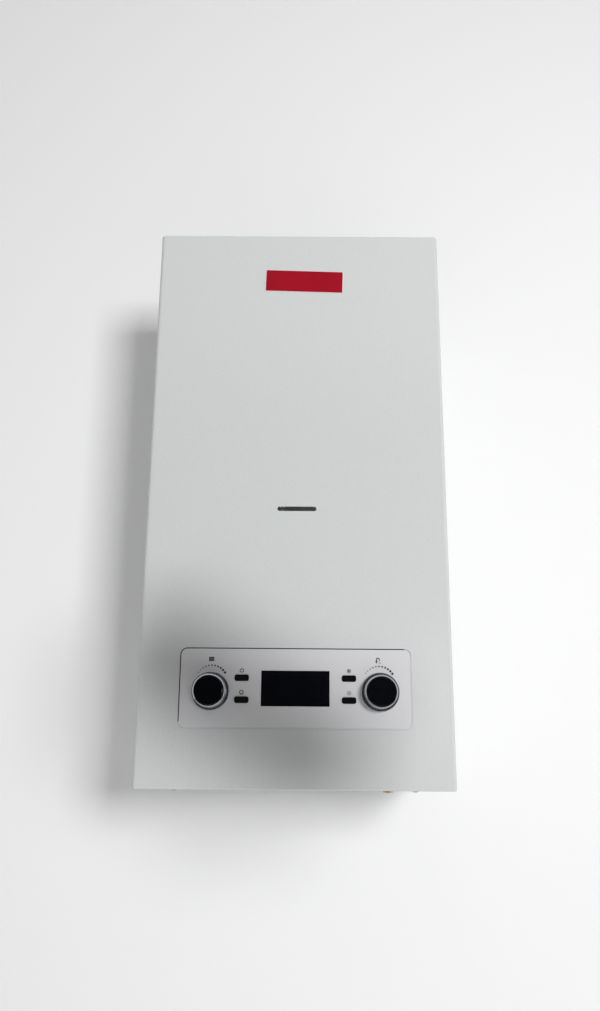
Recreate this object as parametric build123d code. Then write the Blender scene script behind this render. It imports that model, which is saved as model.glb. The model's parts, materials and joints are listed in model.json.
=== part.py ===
from build123d import *
import os
from math import cos, radians, sin

# Wall-hung gas combi boiler, fan flued, in millimetres
# X runs to the right and Y to the wall, whose face is y = 0
# Heights in this file are above the casing's bottom edge; write_node moves the origin to the hanging line

# Casing
casing_width = 400.0
casing_height = 765.0
casing_depth = 300.0
cover_sheet = 1.0
side_bend = 5.5
end_bend = 2.0
end_return = 25.0
cover_gap = 0.3
cover_wall_gap = 3.0
slot_width = 52.0
slot_height = 6.2
slot_glass_margin = 5.0
slot_glass_thick = 2.0

# Frame of folded sheet
frame_sheet = 1.2
rail_sheet = 1.5
rail_width = 25.0
rail_depth = 30.0
plate_front_gap = 7.0
hanging_below_top = 60.0
hanging_slot_spacing = 240.0
hanging_slot_width = 10.0
hanging_slot_length = 26.0
hanging_bar_height = 34.0
hanging_bar_thick = 2.5
bead_width = 14.0
bead_rise = 1.5
bead_xs = (-110.0, 0.0, 110.0)
bead_end_gap = 30.0
bead_vessel_gap = 10.0
bracket_on_rail = 2.8
bracket_foot_inset = 3.0
chamber_bracket_rise = 60.0
chamber_bracket_drop = 20.0
box_bracket_height = 70.0
box_bracket_overlap = 16.0
screw_radius = 2.0
screw_head_radius = 4.5
screw_head_height = 2.5
screw_x = 150.0
screw_y = -285.0
screw_slot_clearance = 0.5
screw_fit = 0.05
screw_past_plate = 4.0

# Control panel
fascia_width = 292.0
fascia_height = 98.0
fascia_corner = 8.3
fascia_z = 122.3
fascia_recess = 0.4
fascia_gap = 0.8
fascia_flange = 5.0
fascia_flange_thick = 2.2
window_width = 86.0
window_height = 43.5
window_z = 121.8
window_thick = 2.0
window_ledge = 3.0
window_gap = 0.3
window_recess = 0.2
display_margin = 1.5
key_width = 17.7
key_height = 7.7
key_corner = 2.5
key_x = 67.8
key_heights = (134.6, 107.6)
key_gap = 0.25
key_stand = 1.2
key_travel = 1.0
key_flange = 1.0
key_flange_thick = 1.2
key_stem_width = 3.0
knob_x = 107.0
knob_z = 118.2
knob_clearance = 0.4
knob_skirt_radius = 24.25
knob_skirt_height = 4.0
knob_body_radius = 21.6
knob_rim_radius = 20.25
knob_rim_bevel = 1.2
knob_height = 22.0
knob_face_radius = 17.2
knob_face_thick = 1.0
knob_face_inset = 0.6
spindle_width = 4.2
spindle_hole_radius = 3.05
spindle_fit = 0.05
board_width = 280.0
board_height = 96.0
board_thick = 1.6
board_standoff = 12.5
boss_size = 7.0
boss_inset = 6.0
box_wall = 2.0
box_depth = 68.5
box_corner = 5.0
pot_size = 16.0
pot_depth = 8.0
switch_size = 6.0
switch_height = 5.3
transformer_size = (48.0, 36.0, 42.0)
relay_size = (16.0, 20.0, 28.0)
relay_xs = (44.0, 66.0, 88.0)
relay_drop = 26.0
connector_size = (34.0, 11.0, 10.0)
connector_xs = (-100.0, -58.0, 62.0, 104.0)
connector_rise = 38.0
capacitor_radius = 9.0
capacitor_depth = 25.0
capacitor_x = 50.0
capacitor_rise = 14.0

# Flue, fan and air
flue_y = -181.0
flue_radius = 30.0
flue_wall = 1.2
flue_rise = 37.3
air_radius = 50.0
air_wall = 1.2
air_rise = 31.3
collar_size = 140.0
collar_corner = 10.0
collar_thick = 2.0
fan_x = -50.0
fan_depth = 62.0
fan_outlet_gap = 20.5
fan_outlet_height = 87.0
fan_over_exchanger = 115.0
cut_off_height = 72.0
fan_wall = 1.5
fan_radius_start = 80.0
fan_radius_end = 66.0
fan_scroll_turn = 300
fan_outlet_width = 60.0
fan_inlet_radius = 38.0
wheel_radius = 56.0
wheel_blade_depth = 14.0
wheel_blade_length = 41.0
wheel_blade_thick = 1.2
wheel_blades = 20
wheel_blade_slant = 35.0
wheel_disc_thick = 1.5
wheel_front_gap = 5.0
fan_shaft_radius = 3.0
fan_shaft_fit = 0.05
fan_shaft_hole_clearance = 1.0
motor_core = 56.0
motor_core_thick = 25.0
motor_standoff = 8.0
motor_coil_width = 30.0
motor_coil_height = 18.0
motor_post = 6.0
motor_post_inset = 4.0
shaft_in_core = 6.0
motor_bore_end_gap = 1.0
hood_sheet = 1.0
hood_below_outlet = 7.0
hood_rise = 36.0
hood_neck_x = (-110.0, 30.0)
hood_neck_inset = 6.0
pressure_switch_inset = 78.7
pressure_switch_drop = 72.5
pressure_switch_radius = 28.0
pressure_switch_thick = 18.0
pressure_tube_radius = 3.5
pressure_tube_spacing = 20.0
pressure_port = 6.0
pressure_port_inset = 4.0
pressure_switch_offset = 13.0
pressure_bracket_width = 16.0

# Combustion chamber, burner and heat exchanger
chamber_width = 224.0
chamber_front = -262.0
chamber_rear = -88.0
chamber_above_fascia = 78.7
chamber_sheet = 1.0
front_panel_sheet = 1.2
front_panel_gap = 10.0
insulation_above_burner = 10.0
sight_above_burner = 29.0
sight_above_slot = 8.5
burner_above_bottom = 35.0
manifold_above_bottom = 40.0
electrode_above_bottom = 90.0
electrode_wire_length = 22.0
ceramic_inside = 8.0
insulation = 11.0
sight_x = (-17.0, 10.0)
sight_height = 18.0
sight_frame_left = 3.0
sight_frame_right = 8.0
sight_frame_thick = 2.0
sight_frame_band = 4.0
burner_bars_count = 11
burner_pitch = 18.0
burner_bar_width = 11.0
burner_bar_shoulder = 33.0
burner_bar_height = 50.0
burner_bar_front = -252.0
burner_bar_rear = -100.0
burner_mouth_radius = 4.2
burner_rail_height = 4.0
burner_sheet = 1.0
burner_rail_width = 12.0
burner_rail_inset = 2.0
burner_mouth_depth = 30.0
manifold_size = 18.0
manifold_front = -285.0
manifold_half_length = 100.0
manifold_ear_thick = 3.0
injector_length = 11.0
injector_radius = 4.0
electrode_xs = (-40.0, -26.0, 40.0)
ceramic_radius = 4.0
electrode_wire_radius = 1.2
exchanger_height = 70.0
exchanger_sheet = 1.5
fin_count = 16
fin_pitch = 13.0
fin_thick = 0.8
fin_height = 58.0
tube_count = 4
tube_pitch = 40.0
tube_width = 9.0
tube_height = 34.0
tube_wall = 1.0
water_box_length = 32.0
water_box_height = 50.0
water_box_margin = 7.0
water_box_chamfer = 6.0
water_box_wall = 2.0

# Water and gas side
pipe_end_inset = 68.7
pipe_y = -110.0
stub_drop = 14.0
stub_top = 24.0
stub_large_radius = 13.2
stub_large_bore = 9.5
stub_small_radius = 10.5
stub_small_bore = 7.0
stub_hole_clearance = 0.5
stub_hex_margin = 4.0
stub_shoulder = 1.0
air_hole_margin = 1.0
pipe_radius = 9.0
gas_elbow_size = 24.0
gas_valve_width = 70.0
gas_valve_height = 55.0
gas_outlet_above_valve = 27.0
gas_valve_y = (-160.0, -95.0)
gas_valve_bevel = 5.0
coil_size = 24.0
coil_height = 24.0
coil_spacing = 32.0
vessel_width = 300.0
vessel_height = 400.0
vessel_depth = 68.0
vessel_corner = 60.0
vessel_wall = 1.5
vessel_below_bar = 23.0
vessel_rim_chamfer = 12.0
spacer_thick = 3.8
spacer_height = 20.0
spacer_length = 240.0
spacer_end_gap = 15.0
hose_x = 120.0
hose_y = -60.0
hose_radius = 7.0
hose_bore = 5.0
plate_exchanger_width = 190.0
plate_exchanger_y = (-80.0, -38.0)
plate_exchanger_z = (90.0, 165.0)
plate_exchanger_ribs = 10
plate_exchanger_step = 1.5
block_large_radius = 18.0
block_small_radius = 15.0
flow_block_top = 150.0
small_block_top = 126.0
bridge_y = -120.0
bridge_z = (94.0, 120.0)
pump_z = 110.0
pump_size = 84.0
pump_corner = 12.0
pump_y = (-150.0, -92.0)
pump_outlet_top = 176.0
motor_radius = 40.0
motor_front = -222.0
motor_box_width = 46.0
motor_box_rise = 14.0
motor_box_front_gap = 12.0
motor_box_rear_gap = 6.0
separator_x = (98.0, 168.0)
separator_rear = -45.0
separator_z = (138.0, 170.0)
vent_x = 150.0
vent_y = -66.0
vent_radius = 12.0
vent_top = 222.0
actuator_width = 50.0
actuator_depth = 44.0
actuator_z = (92.0, 132.0)
actuator_bevel = 5.0
relief_z = 46.0
relief_hex_radius = 13.0
relief_length = 34.0
relief_knob_radius = 15.0
relief_knob_thick = 14.0
relief_drain_radius = 7.0
relief_seat_depth = 3.0
knob_lobes = 6
tap_from_inlet = 35.0
tap_body_radius = 9.0
tap_body_z = (14.0, 66.0)
tap_knob_radius = 11.0
tap_knob_z = (-12.0, 8.0)
tap_spindle_radius = 3.0
tap_spindle_depth = 13.0
tap_knob_spindle = 12.0
tap_arm_width = 12.0
tap_arm_drop = 4.0
tap_hole_clearance = 1.5
knob_seat_gap = 0.3
sensor_size = 12.0
sensor_rises = (60.0, 150.0)

# Places worked out from the sizes above
half_casing = casing_width / 2
casing_front = -casing_depth
cover_inside = casing_front + cover_sheet
frame_half = half_casing - cover_sheet - cover_gap
plate_half = frame_half - end_bend
plate_front = cover_inside + plate_front_gap
top_plate_top = casing_height - cover_sheet - cover_gap
top_plate_under = top_plate_top - frame_sheet
bottom_plate_under = cover_sheet + cover_gap
bottom_plate_top = bottom_plate_under + frame_sheet
hanging_height = casing_height - hanging_below_top
pressure_switch_x = frame_half - pressure_switch_inset
flue_top = top_plate_top + flue_rise
air_top = top_plate_top + air_rise
fan_outlet_top = top_plate_under - fan_outlet_gap
fan_z = fan_outlet_top - fan_outlet_height
hood_top = fan_outlet_top - hood_below_outlet
pressure_switch_z = top_plate_under - pressure_switch_drop
chamber_top = fan_z - fan_over_exchanger - exchanger_height
chamber_bottom = fascia_z + fascia_height / 2 + chamber_above_fascia
burner_bar_bottom = chamber_bottom + burner_above_bottom
burner_top = burner_bar_bottom + burner_bar_height
sight_z = burner_top + sight_above_burner
slot_z = sight_z - sight_above_slot
insulation_bottom = burner_top + insulation_above_burner
manifold_bottom = chamber_bottom + manifold_above_bottom
front_panel_bottom = manifold_bottom + manifold_size + front_panel_gap
electrode_z = chamber_bottom + electrode_above_bottom
gas_valve_z = (chamber_bottom - gas_valve_height, chamber_bottom)
gas_outlet_z = gas_valve_z[0] + gas_outlet_above_valve
vessel_bottom = hanging_height - hanging_bar_height / 2 - vessel_below_bar - vessel_height
sensor_heights = [flow_block_top + rise for rise in sensor_rises]
rail_inner = frame_half - rail_width
pipe_pitch = (frame_half - pipe_end_inset) / 2
bracket_outer_x = rail_inner + bracket_on_rail
fascia_front = casing_front + fascia_recess
flange_front = cover_inside + cover_gap
fascia_back = flange_front + fascia_flange_thick
window_back = fascia_front + window_thick + window_recess
board_front = fascia_back + board_standoff
board_back = board_front + board_thick
box_back = fascia_back + box_depth
box_half_width = fascia_width / 2 + fascia_flange
box_half_height = fascia_height / 2 + fascia_flange
half_chamber = chamber_width / 2
chamber_y = (chamber_front + chamber_rear) / 2
exchanger_top = chamber_top + exchanger_height
exchanger_z = chamber_top + exchanger_height / 2
hood_neck = exchanger_top + hood_rise
hood_front = flue_y + fan_depth / 2
fan_front = hood_front - fan_depth
manifold_rear = manifold_front + manifold_size
manifold_z = manifold_bottom + manifold_size / 2
pump_x = 2 * pipe_pitch
tap_x = pipe_pitch + tap_from_inlet
vessel_rear = -frame_sheet - spacer_thick
vessel_front = vessel_rear - vessel_depth


# A block between two x, two y and two z planes
def block(x, y, z):
    centre = ((x[0] + x[1]) / 2, (y[0] + y[1]) / 2, (z[0] + z[1]) / 2)
    return Pos(*centre) * Box(x[1] - x[0], y[1] - y[0], z[1] - z[0])


# A range of a given length about its middle
def about(middle, length):
    return (middle - length / 2, middle + length / 2)


# A round bar along Z, from z[0] to z[1]
def upright(radius, x, y, z):
    return Pos(x, y, (z[0] + z[1]) / 2) * Cylinder(radius, z[1] - z[0])


# A round bar along Y, from y[0] to y[1]
def level(radius, x, z, y):
    return Pos(x, (y[0] + y[1]) / 2, z) * Rot(90, 0, 0) * Cylinder(radius, y[1] - y[0])


# A round bar along X, from x[0] to x[1]
def across(radius, y, z, x):
    return Pos((x[0] + x[1]) / 2, y, z) * Rot(0, 90, 0) * Cylinder(radius, x[1] - x[0])


# A shape drawn in the front view, x to the right and z up, filling y[0] to y[1]
def front_plate(sketch, y):
    view = Plane(origin=(0, y[1], 0), x_dir=(1, 0, 0), z_dir=(0, -1, 0))
    return view * extrude(sketch, y[1] - y[0])


# A shape drawn in the plan view, filling z[0] to z[1]
def plan_plate(sketch, z):
    return Pos(0, 0, z[0]) * extrude(sketch, z[1] - z[0])


# The same piece on the other side of the centreline
def mirrored(shape):
    return mirror(shape, about=Plane.YZ)


# Writes one node, with the origin moved to the hanging line
def write_node(name, *solids):
    placed = [Pos(0, 0, -hanging_height) * solid for solid in solids]
    shape = placed[0] if len(placed) == 1 else Compound(children=placed)
    export_step(shape, os.path.join("parts", name + ".step"))


# Front view outlines
def outline(width, height, corner, x=0.0, z=0.0):
    return Pos(x, z) * RectangleRounded(width, height, corner)


# A square box of sheet, open along Z
def frame_ring(x, y, z, sheet):
    inner = block((x[0] + sheet, x[1] - sheet), (y[0] + sheet, y[1] - sheet), z)
    return block(x, y, z) - inner


# A knob with lobes, turning about its own Z axis
def lobed_knob(radius, height):
    sides = 2 * knob_lobes
    points = []
    for side in range(sides):
        reach = radius if side % 2 else radius * 0.8
        turn = radians(360 * side / sides)
        points.append((reach * cos(turn), reach * sin(turn)))
    return extrude(make_face(Polyline(*points, close=True)), height)


# The casing's outer shape, with bent sides and end folds
def folded_casing(rear):
    solid = block((-half_casing, half_casing), (casing_front, rear), (0, casing_height))
    solid = fillet(solid.edges().filter_by(Axis.Z).group_by(Axis.Y)[0], side_bend)
    return fillet(solid.edges().filter_by(Axis.X).group_by(Axis.Y)[0], end_bend)


# Folded front casing with returns at the top and bottom
def casing_cover():
    rear = -cover_wall_gap
    inner_x = (cover_sheet - half_casing, half_casing - cover_sheet)
    inner = block(inner_x, (cover_inside, rear + cover_sheet), (cover_sheet, casing_height - cover_sheet))
    inner = fillet(inner.edges().filter_by(Axis.Z).group_by(Axis.Y)[0], side_bend - cover_sheet)
    cover = folded_casing(rear) - inner
    opening_x = (end_bend - half_casing, half_casing - end_bend)
    returns_end = casing_front + end_return
    for z in ((0, cover_sheet), (casing_height - cover_sheet, casing_height)):
        cover -= block(opening_x, (returns_end, rear), z)
    through = (casing_front, cover_inside)
    gap = fascia_gap
    cover -= front_plate(outline(fascia_width + 2 * gap, fascia_height + 2 * gap, fascia_corner + gap, 0,
                                 fascia_z), through)
    cover -= front_plate(Pos(0, slot_z) * SlotOverall(slot_width, slot_height), through)
    slot = screw_radius + screw_slot_clearance
    for x in (-screw_x, screw_x):
        cover -= upright(slot, x, screw_y, (0, cover_sheet))
        cover -= block(about(x, 2 * slot), (screw_y, returns_end), (0, cover_sheet))
    return cover


def write_casing():
    write_node("casing_cover", casing_cover())
    half_glass = slot_width / 2 + slot_glass_margin
    glass_z = about(slot_z, slot_height + 2 * slot_glass_margin)
    glass = block((-half_glass, half_glass), (cover_inside, cover_inside + slot_glass_thick), glass_z)
    write_node("slot_glass", glass)
    screws = [screw(x, screw_y, (-cover_gap - screw_head_height, -cover_gap),
                    bottom_plate_top + screw_past_plate)
              for x in (-screw_x, screw_x)]
    write_node("casing_screws", *screws)


# A hexagon-headed sheet screw, its head between head_z and its point at end_z
def screw(x, y, head_z, end_z):
    head = plan_plate(Pos(x, y) * RegularPolygon(screw_head_radius, 6), head_z)
    shank_z = (min(head_z[1], end_z), max(head_z[0], end_z))
    return head + upright(screw_radius, x, y, shank_z)


# Frame: rear panel, hanging bar, rails and the end plates
def hanging_slots(y):
    slots = [Pos(x, hanging_height) * SlotOverall(hanging_slot_length, hanging_slot_width)
             for x in (-hanging_slot_spacing / 2, hanging_slot_spacing / 2)]
    return front_plate(slots[0] + slots[1], y)


def write_frame():
    inner_z = (bottom_plate_top, top_plate_under)
    bar_rear = -frame_sheet
    panel = block((-rail_inner, rail_inner), (bar_rear, 0), inner_z) - hanging_slots((bar_rear, 0))
    bead_z = (bottom_plate_top + bead_end_gap, vessel_bottom - bead_vessel_gap)
    for x in bead_xs:
        panel += block(about(x, bead_width), (bar_rear - bead_rise, bar_rear), bead_z)
    write_node("rear_panel", panel)
    bar_y = (bar_rear - hanging_bar_thick, bar_rear)
    bar_z = about(hanging_height, hanging_bar_height)
    write_node("hanging_bar", block((-rail_inner, rail_inner), bar_y, bar_z) - hanging_slots(bar_y))
    rail = block((rail_inner, frame_half), (-rail_depth, 0), inner_z)
    rail -= block((rail_inner, frame_half - rail_sheet), (rail_sheet - rail_depth, -rail_sheet), inner_z)
    write_node("side_rails", rail, mirrored(rail))
    top = block((-plate_half, plate_half), (plate_front, 0), (top_plate_under, top_plate_top))
    write_node("top_plate",
               top - upright(air_radius + air_hole_margin, 0, flue_y, (top_plate_under, top_plate_top)))
    bottom_z = (bottom_plate_under, bottom_plate_top)
    bottom = block((-plate_half, plate_half), (plate_front, 0), bottom_z)
    for x, radius in stub_places():
        hole = RegularPolygon(radius + stub_hex_margin + stub_hole_clearance, 6)
        bottom -= plan_plate(Pos(x, pipe_y) * hole, bottom_z)
    for x in (-screw_x, screw_x):
        bottom -= upright(screw_radius + screw_fit, x, screw_y, bottom_z)
    bottom -= upright(tap_knob_radius + tap_hole_clearance, tap_x, pipe_y, bottom_z)
    bottom -= upright(relief_drain_radius + stub_hole_clearance, pump_x, relief_drain_y(), bottom_z)
    write_node("bottom_plate", bottom)
    spacer_bottoms = (vessel_bottom + spacer_end_gap,
                      vessel_bottom + vessel_height - spacer_end_gap - spacer_height)
    spacers = [block(about(0, spacer_length), (vessel_rear, -frame_sheet), (z, z + spacer_height))
               for z in spacer_bottoms]
    arms = (chamber_bracket(), control_box_arm())
    write_node("frame_brackets", *arms, *[mirrored(arm) for arm in arms], *spacers)


# A folded arm from the rail's front flange to a face at reach_x, with a foot on the flange
def folded_arm(reach_x, front, z):
    outer = bracket_outer_x
    arm = block((outer - rail_sheet, outer), (front, -rail_depth), z)
    foot_x = (outer - rail_sheet, frame_half - bracket_foot_inset)
    arm += block(foot_x, (-rail_depth - rail_sheet, -rail_depth), z)
    return arm + block((reach_x, outer), (front, front + rail_sheet), z)


def chamber_bracket():
    z = (chamber_bottom + chamber_bracket_rise, chamber_top - chamber_bracket_drop)
    return folded_arm(half_chamber, hood_front, z)


def control_box_arm():
    return folded_arm(box_half_width - box_bracket_overlap, box_back, about(fascia_z, box_bracket_height))


# Control panel
def key_places():
    return [(x, z) for x in (-key_x, key_x) for z in key_heights]


def control_fascia():
    back, front = fascia_back, fascia_front
    fascia = front_plate(outline(fascia_width, fascia_height, fascia_corner, 0, fascia_z), (front, back))
    flange = Pos(0, fascia_z) * Rectangle(2 * box_half_width, 2 * box_half_height)
    fascia += front_plate(flange, (flange_front, back))
    pocket = Pos(0, window_z) * Rectangle(window_width + 2 * window_gap, window_height + 2 * window_gap)
    fascia -= front_plate(pocket, (front, window_back))
    hole = Pos(0, window_z) * Rectangle(window_width - 2 * window_ledge, window_height - 2 * window_ledge)
    fascia -= front_plate(hole, (front, back))
    for x, z in key_places():
        key_hole = outline(key_width + 2 * key_gap, key_height + 2 * key_gap, key_corner + key_gap, x, z)
        fascia -= front_plate(key_hole, (front, back))
    for x in (-knob_x, knob_x):
        fascia -= level(spindle_hole_radius, x, knob_z, (front, back))
    for x in about(0, board_width - 2 * boss_inset):
        for z in about(fascia_z, board_height - 2 * boss_inset):
            fascia += block(about(x, boss_size), (back, board_front), about(z, boss_size))
    return fascia


def key():
    top = front_plate(outline(key_width, key_height, key_corner),
                      (fascia_front - key_stand, fascia_back + cover_gap))
    y = fascia_back + cover_gap
    wide = key_width / 2 + key_flange
    tall = key_height / 2 + key_flange
    top += block((-wide, wide), (y, y + key_flange_thick), (-tall, tall))
    stem_end = board_front - switch_height - key_travel - cover_gap
    half_stem = key_stem_width / 2
    return top + block((-half_stem, half_stem), (y + key_flange_thick, stem_end), (-half_stem, half_stem))


# Knob turned about its own axis, from the fascia outwards; the spindle runs back to the potentiometer
def knob_body():
    spindle_end = fascia_front + pot_depth - board_front + spindle_fit
    rim = knob_height - knob_rim_bevel
    profile = Polyline((0, knob_clearance), (knob_skirt_radius, knob_clearance),
                       (knob_skirt_radius, knob_skirt_height),
                       (knob_body_radius, knob_skirt_height), (knob_rim_radius, rim),
                       (knob_face_radius, knob_height), (0, knob_height), close=True)
    solid = revolve(Plane.XZ * make_face(profile), Axis.Z)
    solid += block(about(0, spindle_width), about(0, spindle_width), (spindle_end, knob_clearance))
    return Pos(0, fascia_front, 0) * Rot(90, 0, 0) * solid


def knob_cap():
    y = fascia_front - knob_height
    return level(knob_face_radius - knob_face_inset, 0, 0, (y - knob_face_thick, y))


# A boxed component on the back of the board, its size as width, depth and height
def component(x, z, size):
    return block(about(x, size[0]), (board_back, board_back + size[1]), about(z, size[2]))


def write_controls():
    write_node("control_fascia", control_fascia())
    window_y = (window_back - window_thick, window_back)
    write_node("display_window", block(about(0, window_width), window_y, about(window_z, window_height)))
    hole_width = window_width - 2 * window_ledge
    hole_height = window_height - 2 * window_ledge
    display_y = (window_back + window_gap, board_front)
    write_node("display_module",
               block(about(0, hole_width - 2 * display_margin), display_y,
                     about(window_z, hole_height - 2 * display_margin)))
    board_y = (board_front, board_back)
    write_node("control_board", block(about(0, board_width), board_y, about(fascia_z, board_height)))
    box = block((-box_half_width, box_half_width), (fascia_back, box_back),
                about(fascia_z, 2 * box_half_height))
    box = chamfer(box.edges().filter_by(Axis.Y), box_corner)
    box = chamfer(box.faces().sort_by(Axis.Y)[-1].edges(), box_wall)
    hollow_x = (box_wall - box_half_width, box_half_width - box_wall)
    hollow = block(hollow_x, (fascia_back, box_back - box_wall),
                   about(fascia_z, 2 * (box_half_height - box_wall)))
    write_node("control_box", box - chamfer(hollow.edges().filter_by(Axis.Y), box_corner))
    parts = [component(0, fascia_z, transformer_size)]
    parts += [component(x, fascia_z - relay_drop, relay_size) for x in relay_xs]
    parts += [component(x, fascia_z + connector_rise, connector_size) for x in connector_xs]
    capacitor_y = (board_back, board_back + capacitor_depth)
    parts.append(level(capacitor_radius, capacitor_x, fascia_z + capacitor_rise, capacitor_y))
    switch_y = (board_front - switch_height, board_front)
    parts += [block(about(x, switch_size), switch_y, about(z, switch_size)) for x, z in key_places()]
    pot_y = (board_front - pot_depth, board_front)
    parts += [block(about(x, pot_size), pot_y, about(knob_z, pot_size)) for x in (-knob_x, knob_x)]
    write_node("board_components", *parts)
    for side, name in ((-1, "heating_knob"), (1, "hot_water_knob")):
        write_node(name, Pos(side * knob_x, 0, knob_z) * knob_body())
        write_node(name + "_face", Pos(side * knob_x, 0, knob_z) * knob_cap())
    for name, (x, z) in zip(("power_key", "mode_key", "winter_key", "summer_key"), key_places()):
        write_node(name, Pos(x, 0, z) * key())


# Flue, fan and air
def write_flue():
    seat = top_plate_top
    collar = Pos(0, flue_y) * RectangleRounded(collar_size, collar_size, collar_corner)
    collar = plan_plate(collar, (seat, seat + collar_thick))
    collar += upright(air_radius, 0, flue_y, (seat, air_top))
    collar -= upright(air_radius - air_wall, 0, flue_y, (seat, air_top))
    write_node("air_collar", collar)
    spigot = upright(flue_radius, 0, flue_y, (fan_outlet_top, flue_top))
    write_node("flue_spigot",
               spigot - upright(flue_radius - flue_wall, 0, flue_y, (fan_outlet_top, flue_top)))


# Scroll of the fan: its radius falls steadily from the outlet side round to the cut-off
def scroll(inset):
    def point(turn):
        share = turn / fan_scroll_turn
        reach = fan_radius_start + (fan_radius_end - fan_radius_start) * share - inset
        return (fan_x + reach * cos(radians(turn)), fan_z - reach * sin(radians(turn)))

    step = fan_scroll_turn // 6
    arcs = [ThreePointArc(point(turn), point(turn + step / 2), point(turn + step))
            for turn in range(0, fan_scroll_turn, step)]
    cut_x = fan_outlet_width / 2 - fan_outlet_width + inset
    cut_off = point(fan_scroll_turn)
    top = fan_outlet_top - inset
    corner = (fan_outlet_width / 2 - inset, top)
    lines = Polyline(cut_off, (cut_x, fan_z + cut_off_height), (cut_x, top), corner, point(0))
    return make_face(Curve() + [*arcs, lines])


def write_fan():
    y = (fan_front, hood_front)
    inner_y = (fan_front + fan_wall, hood_front - fan_wall)
    housing = front_plate(scroll(0), y) - front_plate(scroll(fan_wall), inner_y)
    housing -= level(fan_inlet_radius, fan_x, fan_z, (inner_y[1], y[1]))
    housing -= level(fan_shaft_radius + fan_shaft_hole_clearance, fan_x, fan_z, (y[0], inner_y[0]))
    housing -= upright(flue_radius - flue_wall, 0, flue_y, (fan_outlet_top - fan_wall, fan_outlet_top))
    write_node("fan_housing", housing)
    disc_y = (inner_y[0] + wheel_front_gap, inner_y[0] + wheel_front_gap + wheel_disc_thick)
    blade_y = (disc_y[1], disc_y[1] + wheel_blade_length)
    motor_front_y = fan_front - motor_standoff - motor_core_thick
    shaft_end = motor_front_y + shaft_in_core
    wheel = level(wheel_radius, fan_x, fan_z, disc_y) + level(fan_shaft_radius, fan_x, fan_z,
                                                              (shaft_end, disc_y[0]))
    blade = Rot(0, wheel_blade_slant, 0) * block(about(0, wheel_blade_depth), blade_y,
                                                 about(0, wheel_blade_thick))
    blade_ring = wheel_radius - (wheel_blade_depth + wheel_blade_thick) / 2
    blades = [Pos(fan_x, 0, fan_z) * Rot(0, 360 * n / wheel_blades, 0) * Pos(blade_ring, 0, 0) * blade
              for n in range(wheel_blades)]
    write_node("fan_wheel", wheel + blades)
    core_y = (motor_front_y, fan_front - motor_standoff)
    motor = block(about(fan_x, motor_core), core_y, about(fan_z, motor_core))
    coil_z = (fan_z - motor_core / 2 - motor_coil_height, fan_z - motor_core / 2)
    motor += block(about(fan_x, motor_coil_width), core_y, coil_z)
    post = motor_core / 2 - motor_post_inset
    for x in (-post, post):
        for z in (-post, post):
            motor += block(about(fan_x + x, motor_post), (core_y[1], fan_front),
                           about(fan_z + z, motor_post))
    motor -= level(fan_shaft_radius + fan_shaft_fit, fan_x, fan_z,
                   (shaft_end - motor_bore_end_gap, core_y[1]))
    write_node("fan_motor", motor)
    write_pressure_switch()
    inlet_y = (hood_front, hood_front + hood_sheet)
    write_node("flue_hood", hood(0) - hood(hood_sheet) - level(fan_inlet_radius, fan_x, fan_z, inlet_y))


def write_pressure_switch():
    middle_y = flue_y - pressure_switch_offset
    switch_y = about(middle_y, pressure_switch_thick)
    switch = level(pressure_switch_radius, pressure_switch_x, pressure_switch_z, switch_y)
    port_x = pressure_switch_x - pressure_switch_radius - pressure_port
    port_z = about(pressure_switch_z, pressure_tube_spacing + 2 * pressure_port)
    switch += block((port_x, pressure_switch_x),
                    about(middle_y, pressure_switch_thick - 2 * pressure_port_inset), port_z)
    bracket_y = (switch_y[1], switch_y[1] + frame_sheet)
    bracket_z = (pressure_switch_z, top_plate_under)
    switch += block(about(pressure_switch_x, pressure_bracket_width), bracket_y, bracket_z)
    write_node("air_pressure_switch", switch)
    tubes = [across(pressure_tube_radius, middle_y, z, (fan_outlet_width / 2, port_x))
             for z in about(pressure_switch_z, pressure_tube_spacing)]
    write_node("pressure_tubes", *tubes)


# Hood over the exchanger, narrowing to an upright neck behind the fan
def hood(inset):
    base = Plane(origin=(0, chamber_y, exchanger_top)) * Rectangle(
        chamber_width - 2 * inset, chamber_rear - chamber_front - 2 * inset)
    neck_x = (hood_neck_x[0] + inset, hood_neck_x[1] - inset)
    neck_y = (hood_front + inset, chamber_rear - hood_neck_inset - inset)
    neck_middle = ((neck_x[0] + neck_x[1]) / 2, (neck_y[0] + neck_y[1]) / 2, hood_neck)
    neck = Plane(origin=neck_middle) * Rectangle(neck_x[1] - neck_x[0], neck_y[1] - neck_y[0])
    return loft([base, neck], ruled=True) + block(neck_x, neck_y, (hood_neck, hood_top - inset))


# Combustion chamber, burner and heat exchanger
def sight_opening(y, margin=0.0):
    x = (sight_x[0] - margin, sight_x[1] + margin)
    return block(x, y, about(sight_z, sight_height + 2 * margin))


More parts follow.
